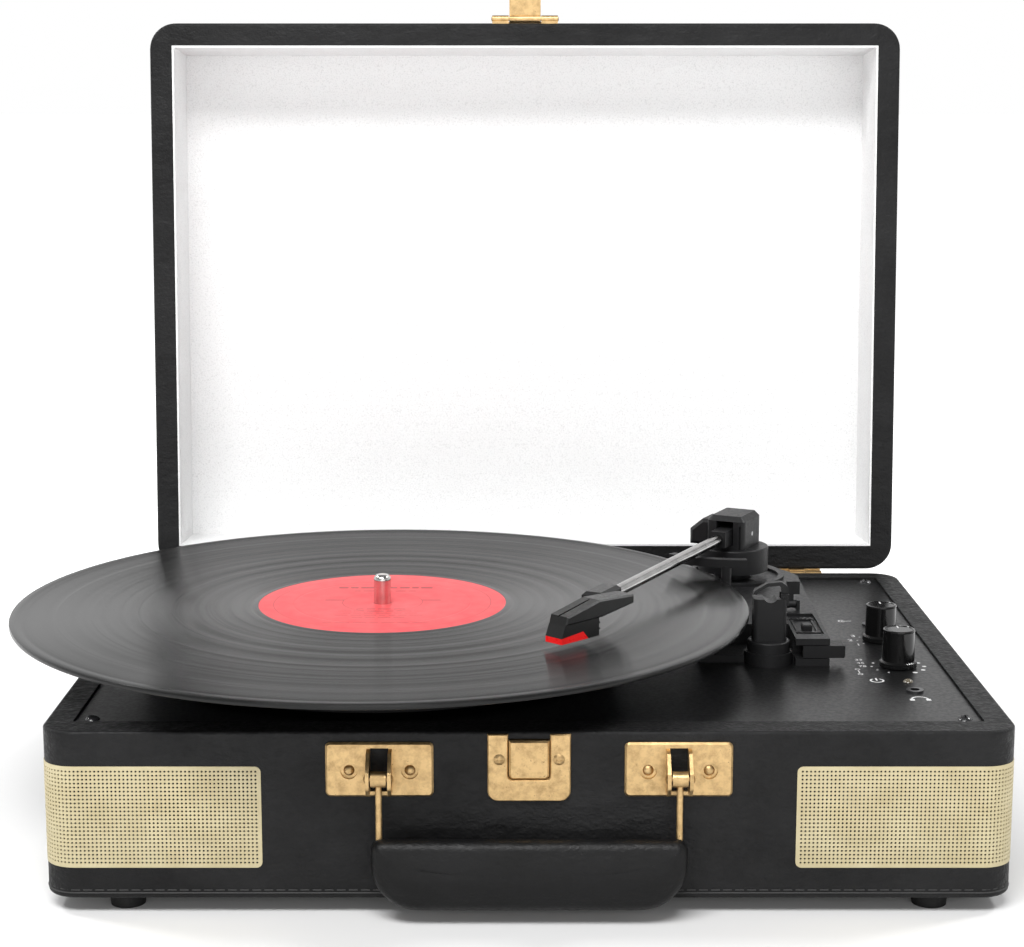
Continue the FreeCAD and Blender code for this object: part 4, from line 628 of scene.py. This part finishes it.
def make_grip():
    """Padded leather grip: a flat pillow with rounded lower corners and a piped edge."""
    low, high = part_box("handle_grip")
    middle = (low + high) / 2
    half_thick = (high.y - low.y) / 2
    outline, normals = grip_outline(low, high)
    edge_roll = 5.2 * MM
    side_reach = half_thick * 0.6984
    mesh = bmesh.new()
    rings = []
    for angle in (math.radians(step) for step in range(-78, 79, 13)):
        inset = (1 - math.cos(angle)) * edge_roll
        across = Vector((0, middle.y + side_reach * math.sin(angle), 0))
        rings.append([mesh.verts.new(point - normal * inset + across)
                      for point, normal in zip(outline, normals)])
    for near, far in zip(rings, rings[1:]):
        join_rings(mesh, near, far)
    for ring in (rings[0], rings[-1]):
        close_pillow(mesh, ring, middle, half_thick)
    grip = piece("grip_pad", mesh, "handle", "grip_leather")
    rounding = grip.modifiers.new("rounding", "SUBSURF")
    rounding.levels = rounding.render_levels = 1
    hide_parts("handle_grip")
    piping = bmesh.new()
    bead = 0.4 * MM
    path = [point - normal * bead + Vector((0, middle.y, 0)) for point, normal in zip(outline, normals)]
    add_tube(piping, path, bead, 8, closed=True)
    piece("grip_piping", piping, "handle", "grip_leather")


def close_pillow(mesh, ring, middle, half_thick):
    """Fills the face of the grip with rows that crown gently towards its middle."""
    sign = 1 if ring[0].co.y > middle.y else -1
    inner = ring
    centre = Vector((middle.x, 0, middle.z))
    tall = max(abs(vert.co.z - middle.z) for vert in ring)
    for share, crown in ((0.8, 0.985), (0.55, 0.995), (0.25, 1.0)):
        following = []
        for vert in ring:
            flat = Vector((vert.co.x, 0, vert.co.z))
            spot = centre + (flat - centre) * share
            spot.x = centre.x + (flat.x - centre.x) * (share ** 0.3)
            roll = 1 - 0.34 * ((spot.z - middle.z) / tall) ** 2
            following.append(mesh.verts.new((spot.x, middle.y + sign * half_thick * crown * roll, spot.z)))
        join_rings(mesh, inner, following)
        inner = following
    mesh.faces.new(inner)


# ---------------------------------------------------------------- record

def spindle_axis():
    """Where the spindle stands, seen from above."""
    low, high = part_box("record_label")
    return (low.x + high.x) / 2, (low.y + high.y) / 2


def groove_profile(inner, outer, top):
    """Radii and heights across the grooves: shallow ripples with flat bands between tracks."""
    breaks = (56.5, 62, 70.4, 71.6, 84.2, 85.4, 99.8, 101, 116.5, 117.7, 131, 132.2, 144.5)
    points = []
    radius = outer
    step = 0
    while radius > inner:
        bare = any(abs(radius / MM - edge) < 0.32 for edge in breaks) or radius < breaks[1] * MM
        ripple = 0.0 if bare else 0.012 * MM * (step % 2)
        height = top + ripple + (0.05 * MM if bare else 0)
        points.append((radius, height))
        radius -= 0.45 * MM
        step += 1
    return points


def make_record():
    """The record with its bead, lead-in, grooves between bare bands, run-out and label seat."""
    low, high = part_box("record")
    label_low, label_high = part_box("record_label")
    label_radius = (label_high.x - label_low.x) / 2
    edge = (high.x - low.x) / 2
    groove = high.z - 0.25 * MM
    profile = [(RECORD_HOLE, low.z), (edge - 0.9 * MM, low.z), (edge - 0.25 * MM, low.z + 0.25 * MM),
               (edge, low.z + 0.8 * MM), (edge, high.z - 0.8 * MM), (edge - 0.25 * MM, high.z - 0.25 * MM),
               (edge - 0.9 * MM, high.z), (edge - 3 * MM, high.z), (edge - 4.3 * MM, groove)]
    profile += groove_profile(54 * MM, edge - 4.9 * MM, groove)
    profile += [(label_radius + 2.3 * MM, groove), (label_radius + 1.3 * MM, high.z),
                (label_radius, high.z), (label_radius, label_low.z), (RECORD_HOLE, label_low.z),
                (RECORD_HOLE, low.z)]
    x, y = spindle_axis()
    disc = piece("record_disc", lathe(profile, (x, y), 256), "turntable", "vinyl", origin=(x, y, high.z))
    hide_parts("record")
    label = [(RECORD_HOLE, label_low.z), (label_radius - 0.02 * MM, label_low.z),
             (label_radius - 0.02 * MM, label_high.z - 0.05 * MM),
             (label_radius - 0.3 * MM, label_high.z), (RECORD_HOLE + 0.4 * MM, label_high.z),
             (RECORD_HOLE, label_high.z - 0.1 * MM), (RECORD_HOLE, label_low.z)]
    paper = piece("record_paper", lathe(label, (x, y), 160), "turntable", "label_paper",
                  origin=(x, y, label_high.z))
    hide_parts("record_label")
    make_label_print(x, y, label_high.z)


def make_label_print(x, y, top):
    """Short plain bars that stand for lines of print on the label."""
    bars = bmesh.new()
    rows = ((26, 40, 2.2), (20, 26, 1.2), (-12, 20, 0.8), (-15.5, 34, 0.6), (-19, 30, 0.6),
            (-22.5, 36, 0.6), (-26, 22, 0.6), (-35, 44, 0.5))
    for offset, width, thick in rows:
        left = -width / 2
        while left < width / 2 - 2:
            length = random.uniform(2.5, 7)
            right = min(left + length, width / 2)
            add_box(bars, (x + left * MM, y + (offset - thick / 2) * MM, top - PRINT_BELOW),
                    (x + right * MM, y + (offset + thick / 2) * MM, top + PRINT_BELOW))
            left = right + 1.1
    for side in SIDES:
        centre = x + side * 20 * MM
        add_box(bars, (centre - 4 * MM, y + 3 * MM, top - PRINT_BELOW),
                (centre + 4 * MM, y + 4.2 * MM, top + PRINT_BELOW))
    piece("label_print", bars, "turntable", "label_paper", "label_print", smooth=False)


# ---------------------------------------------------------------- controls

def make_knob(node, body, name):
    """Turned knob: a skirt with a fine knurl, a polished body and a plain top with a raised rim and a pointer."""
    low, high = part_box(node)
    x, y = (low.x + high.x) / 2, (low.y + high.y) / 2
    top = high.z
    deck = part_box("deck_plate")[1].z
    skirt = deck + 0.4 * MM
    profile = [(0, skirt - 12 * MM), (3 * MM, skirt - 12 * MM), (3 * MM, skirt), (7.4 * MM, skirt),
               (7.5 * MM, skirt + 0.3 * MM), (7.5 * MM, skirt + 1.8 * MM), (7.2 * MM, skirt + 2.1 * MM),
               (6.55 * MM, skirt + 2.5 * MM), (6.5 * MM, skirt + 3.2 * MM), (6.25 * MM, top - 1.2 * MM),
               (6.25 * MM, top - 0.9 * MM), (6.4 * MM, top - 0.7 * MM), (6.3 * MM, top - 0.2 * MM),
               (5.9 * MM, top), (5.5 * MM, top), (5.3 * MM, top - 0.25 * MM), (0, top - 0.25 * MM)]
    turns = 144
    knurl_depth = 0.16 * MM
    mesh = lathe(profile, (x, y), turns)
    for vert in mesh.verts:
        spoke = Vector((vert.co.x - x, vert.co.y - y, 0))
        turn = round(math.atan2(spoke.y, spoke.x) / math.tau * turns)
        if turn % 3 == 0 and spoke.length > 7.1 * MM and vert.co.z > skirt + 0.2 * MM:
            vert.co -= spoke.normalized() * knurl_depth
    knob = piece(name, mesh, body, "knob_plastic", origin=(x, y, top))
    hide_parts(node)
    pointer = bmesh.new()
    add_box(pointer, (x - 0.3 * MM, y + 2 * MM, top - 0.3 * MM), (x + 0.3 * MM, y + 5 * MM, top - 0.19 * MM))
    piece(f"{name}_pointer", pointer, body, "knob_plastic", "white_ink", smooth=False)


def flat_dot(mesh, x, y, z, radius):
    """A printed dot."""
    bmesh.ops.create_cone(mesh, cap_ends=True, segments=20, radius1=radius, radius2=radius, depth=0.06 * MM,
                          matrix=Matrix.Translation((x, y, z)))


def flat_arc(mesh, x, y, z, radius, start, sweep, width):
    """A printed arc: angles in degrees, counter-clockwise seen from above."""
    steps = max(6, int(abs(sweep) / 8))
    rails = []
    for step in range(steps + 1):
        angle = math.radians(start + sweep * step / steps)
        spoke = Vector((math.cos(angle), math.sin(angle), 0))
        centre = Vector((x, y, z + PRINT_ABOVE))
        rails.append([mesh.verts.new(centre + spoke * (radius + side * width / 2)) for side in SIDES])
    for near, far in zip(rails, rails[1:]):
        mesh.faces.new((near[0], near[1], far[1], far[0]))


def flat_bar(mesh, x, y, z, width, depth):
    """A printed bar about a middle point."""
    add_box(mesh, (x - width / 2, y - depth / 2, z - PRINT_BELOW),
            (x + width / 2, y + depth / 2, z + PRINT_ABOVE))


def digits(name, text, x, y, z, size):
    """Printed numbers on a dial."""
    curve = bpy.data.curves.new(name, "FONT")
    curve.body = text
    curve.size = size
    curve.align_x = "CENTER"
    curve.align_y = "CENTER"
    curve.extrude = PRINT_ABOVE
    thing = bpy.data.objects.new(name, curve)
    bpy.context.scene.collection.objects.link(thing)
    graph = bpy.context.evaluated_depsgraph_get()
    data = bpy.data.meshes.new_from_object(thing.evaluated_get(graph))
    bpy.data.objects.remove(thing)
    mesh = bmesh.new()
    mesh.from_mesh(data)
    bmesh.ops.translate(mesh, verts=mesh.verts, vec=(x, y, z))
    piece(name, mesh, "case", "deck_black", "white_ink", smooth=False)


def add_power_mark(marks, x, y, deck):
    """An open ring with a short bar through the gap."""
    flat_arc(marks, x, y, deck, 2.5 * MM, 120, 300, 0.7 * MM)
    flat_bar(marks, x, y + 1.7 * MM, deck, 0.7 * MM, 3.4 * MM)


def add_headphone_mark(marks, x, y, deck):
    """A headband with a pad at each end."""
    radius = 3.1 * MM
    flat_arc(marks, x, y, deck, radius, 0, 180, 0.75 * MM)
    for side in SIDES:
        flat_bar(marks, x + side * radius, y - 0.9 * MM, deck, 1.8 * MM, 2.2 * MM)


def add_line_in_mark(marks, x, y, deck):
    """A dot in an open ring with a lead to one side."""
    flat_arc(marks, x, y, deck, 1.6 * MM, 60, 240, 0.5 * MM)
    flat_dot(marks, x, y, deck, 0.5 * MM)
    flat_bar(marks, x + 2 * MM, y, deck, 4 * MM, 0.5 * MM)


def add_switch_mark(marks, x, y, deck):
    """Two small rings joined by a bar."""
    for side in SIDES:
        flat_arc(marks, x, y + side * 3.6 * MM, deck, 0.9 * MM, 0, 360, 0.4 * MM)
    flat_bar(marks, x, y, deck, 0.4 * MM, 4.4 * MM)


def make_legends():
    """Marks printed on the deck: dots, simple symbols and numbers beside the controls."""
    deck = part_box("deck_plate")[1].z
    volume_low, volume_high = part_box("volume_knob")
    vx = (volume_low.x + volume_high.x) / 2
    vy = (volume_low.y + volume_high.y) / 2
    selector_low, selector_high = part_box("function_knob")
    sy = (selector_low.y + selector_high.y) / 2
    phones_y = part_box("audio_jacks")[0].y - 7.5 * MM
    marks = bmesh.new()
    for step in range(11):
        angle = math.radians(240 - 30 * step)
        flat_dot(marks, vx + 10.6 * MM * math.cos(angle), vy + 10.6 * MM * math.sin(angle), deck,
                 (0.4 + 0.06 * step) * MM)
    positions = [(text, math.cos(math.radians(angle)), math.sin(math.radians(angle)))
                 for text, angle in (("1", 215), ("2", 180), ("3", 145))]
    for _, across, up in reversed(positions):
        flat_dot(marks, vx + across * 9.6 * MM, sy + up * 9.6 * MM, deck, 0.4 * MM)
    add_power_mark(marks, vx - 12 * MM, vy - 21 * MM, deck)
    add_headphone_mark(marks, vx, phones_y, deck)
    add_line_in_mark(marks, vx - 11 * MM, 38 * MM, deck)
    add_switch_mark(marks, vx - 17 * MM, vy - 8 * MM, deck)
    piece("deck_marks", marks, "case", "deck_black", "white_ink", smooth=False)
    for text, across, up in positions:
        digits(f"selector_{text}", text, vx + 12.6 * MM * across, sy + 12.6 * MM * up, deck, 4.6 * MM)


# ---------------------------------------------------------------- tonearm base

def make_base_details():
    """The panel sunk in the tonearm base, with its frames and ribs, and the speed numbers."""
    low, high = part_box("auto_stop_switch")
    floor = low.z - 0.2 * MM
    centre_x = (low.x + high.x) / 2
    panel = bmesh.new()
    left, right = centre_x - 5.2 * MM, centre_x + 5.2 * MM
    for front, back in ((low.y - 3.4 * MM, low.y - 1 * MM), (high.y + 13.5 * MM, high.y + 15.5 * MM)):
        add_box(panel, (left, front, floor), (right, back, floor + 0.7 * MM), 0.15 * MM)
    for offset in (-4.6, 3.7):
        add_box(panel, (centre_x + offset * MM, low.y - 1 * MM, floor),
                (centre_x + (offset + 0.9) * MM, high.y + 13.5 * MM, floor + 0.5 * MM), 0.12 * MM)
    front = high.y + 14.4 * MM
    for step in range(5):
        add_box(panel, (left + (0.6 + 1.9 * step) * MM, front - 0.7 * MM, floor + 0.6 * MM),
                (left + (1.7 + 1.9 * step) * MM, front + 0.7 * MM, floor + 1 * MM), 0.1 * MM)
    piece("base_panel", panel, "case", "arm_plastic")
    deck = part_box("deck_plate")[1].z
    lever_low, lever_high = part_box("speed_lever")
    for index, text in enumerate(("33", "45", "78")):
        digits(f"speed_{text}", text, lever_high.x + 7 * MM, lever_low.y + (9.5 - 5 * index) * MM, deck,
               3.2 * MM)


# ---------------------------------------------------------------- studio

def make_camera():
    """A long lens in front of the case, a little above it."""
    data = bpy.data.cameras.new("camera")
    data.lens = 74.29
    data.sensor_width = 36
    camera = bpy.data.objects.new("camera", data)
    camera.location = (-0.00617, -0.8630, 0.2934)
    camera.rotation_euler = (math.radians(79.963), 0, 0)
    bpy.context.scene.collection.objects.link(camera)
    bpy.context.scene.camera = camera


def add_light(name, location, target, size, power):
    """A soft rectangular light that faces a target."""
    data = bpy.data.lights.new(name, "AREA")
    data.shape = "RECTANGLE"
    data.size, data.size_y = size
    data.energy = power
    light = bpy.data.objects.new(name, data)
    light.location = location
    light.rotation_euler = (Vector(target) - Vector(location)).to_track_quat("-Z", "Y").to_euler()
    bpy.context.scene.collection.objects.link(light)


def make_floor():
    """A pale floor with painted light: it glows more with distance from the middle, so it is white further out and
    dim near the object, where its shadow falls.
    """
    half_side = 40
    mesh = bmesh.new()
    bmesh.ops.create_grid(mesh, x_segments=2, y_segments=2, size=half_side)
    data = bpy.data.meshes.new("floor")
    mesh.to_mesh(data)
    mesh.free()
    paint = Paint("floor", (0.8, 0.8, 0.8), 0.8, Specular_IOR_Level=0.1)
    paint.shader.inputs["Emission Color"].default_value = (1, 1, 1, 1)
    # painted light: the floor's own glow, low near the object so the shade there stays dark, and strong further
    # out
    painted_floor_glow = paint.between(paint.radius(), 0.24, 0.52, 0.02, 0.75)
    paint.join(painted_floor_glow, paint.shader.inputs["Emission Strength"])
    data.materials.append(paint.material)
    floor = bpy.data.objects.new("floor", data)
    bpy.context.scene.collection.objects.link(floor)


def make_world():
    """A white room that is brightest behind the object, and dimmer overhead and in front."""
    world = bpy.data.worlds.new("studio")
    bpy.context.scene.world = world
    world.use_nodes = True
    nodes = world.node_tree.nodes
    links = world.node_tree.links
    background = nodes["Background"]
    background.inputs["Color"].default_value = (1, 1, 1, 1)
    split = nodes.new("ShaderNodeSeparateXYZ")
    links.new(nodes.new("ShaderNodeTexCoord").outputs["Generated"], split.inputs["Vector"])
    product = nodes.new("ShaderNodeMath")
    product.operation = "MULTIPLY"
    # for each direction: where the fade starts and ends, and the brightness at either end
    fades = (("Z", (0.35, 0.85, 1.0, 0.28)), ("Y", (-0.3, 0.6, 0.5, 1.0)))
    for socket, (axis, limits) in zip(product.inputs, fades):
        fade = nodes.new("ShaderNodeMapRange")
        for limit, number in zip(fade.inputs[1:], limits):
            limit.default_value = number
        links.new(split.outputs[axis], fade.inputs["Value"])
        links.new(fade.outputs["Result"], socket)
    links.new(product.outputs["Value"], background.inputs["Strength"])


def make_studio():
    """Camera, floor, room and lights, with colours shown as they are."""
    make_camera()
    make_floor()
    make_world()
    middle = (0, 0, 0.1)
    add_light("key", (-0.3, -1.1, 1.7), middle, (1.3, 0.6), 38)
    add_light("front", (0.3, -2.1, 0.6), (0, 0, 0.2), (1.8, 0.8), 6)
    for side in SIDES:
        add_light("streak", (side * 1.3, 0.42, 1.45), (-0.06, 0, 0.09), (0.28, 0.28), 11)
    view = bpy.context.scene.view_settings
    view.view_transform = "Standard"
    view.look = "None"


dress_cad()
make_studio()
make_seams()
make_grille(-1, "grille_left_punched", "grille_left")
make_grille(1, "grille_right_punched", "grille_right")
make_grip()
make_record()
make_knob("volume_knob", "volume", "volume_dial")
make_knob("function_knob", "selector", "selector_dial")
make_legends()
make_base_details()
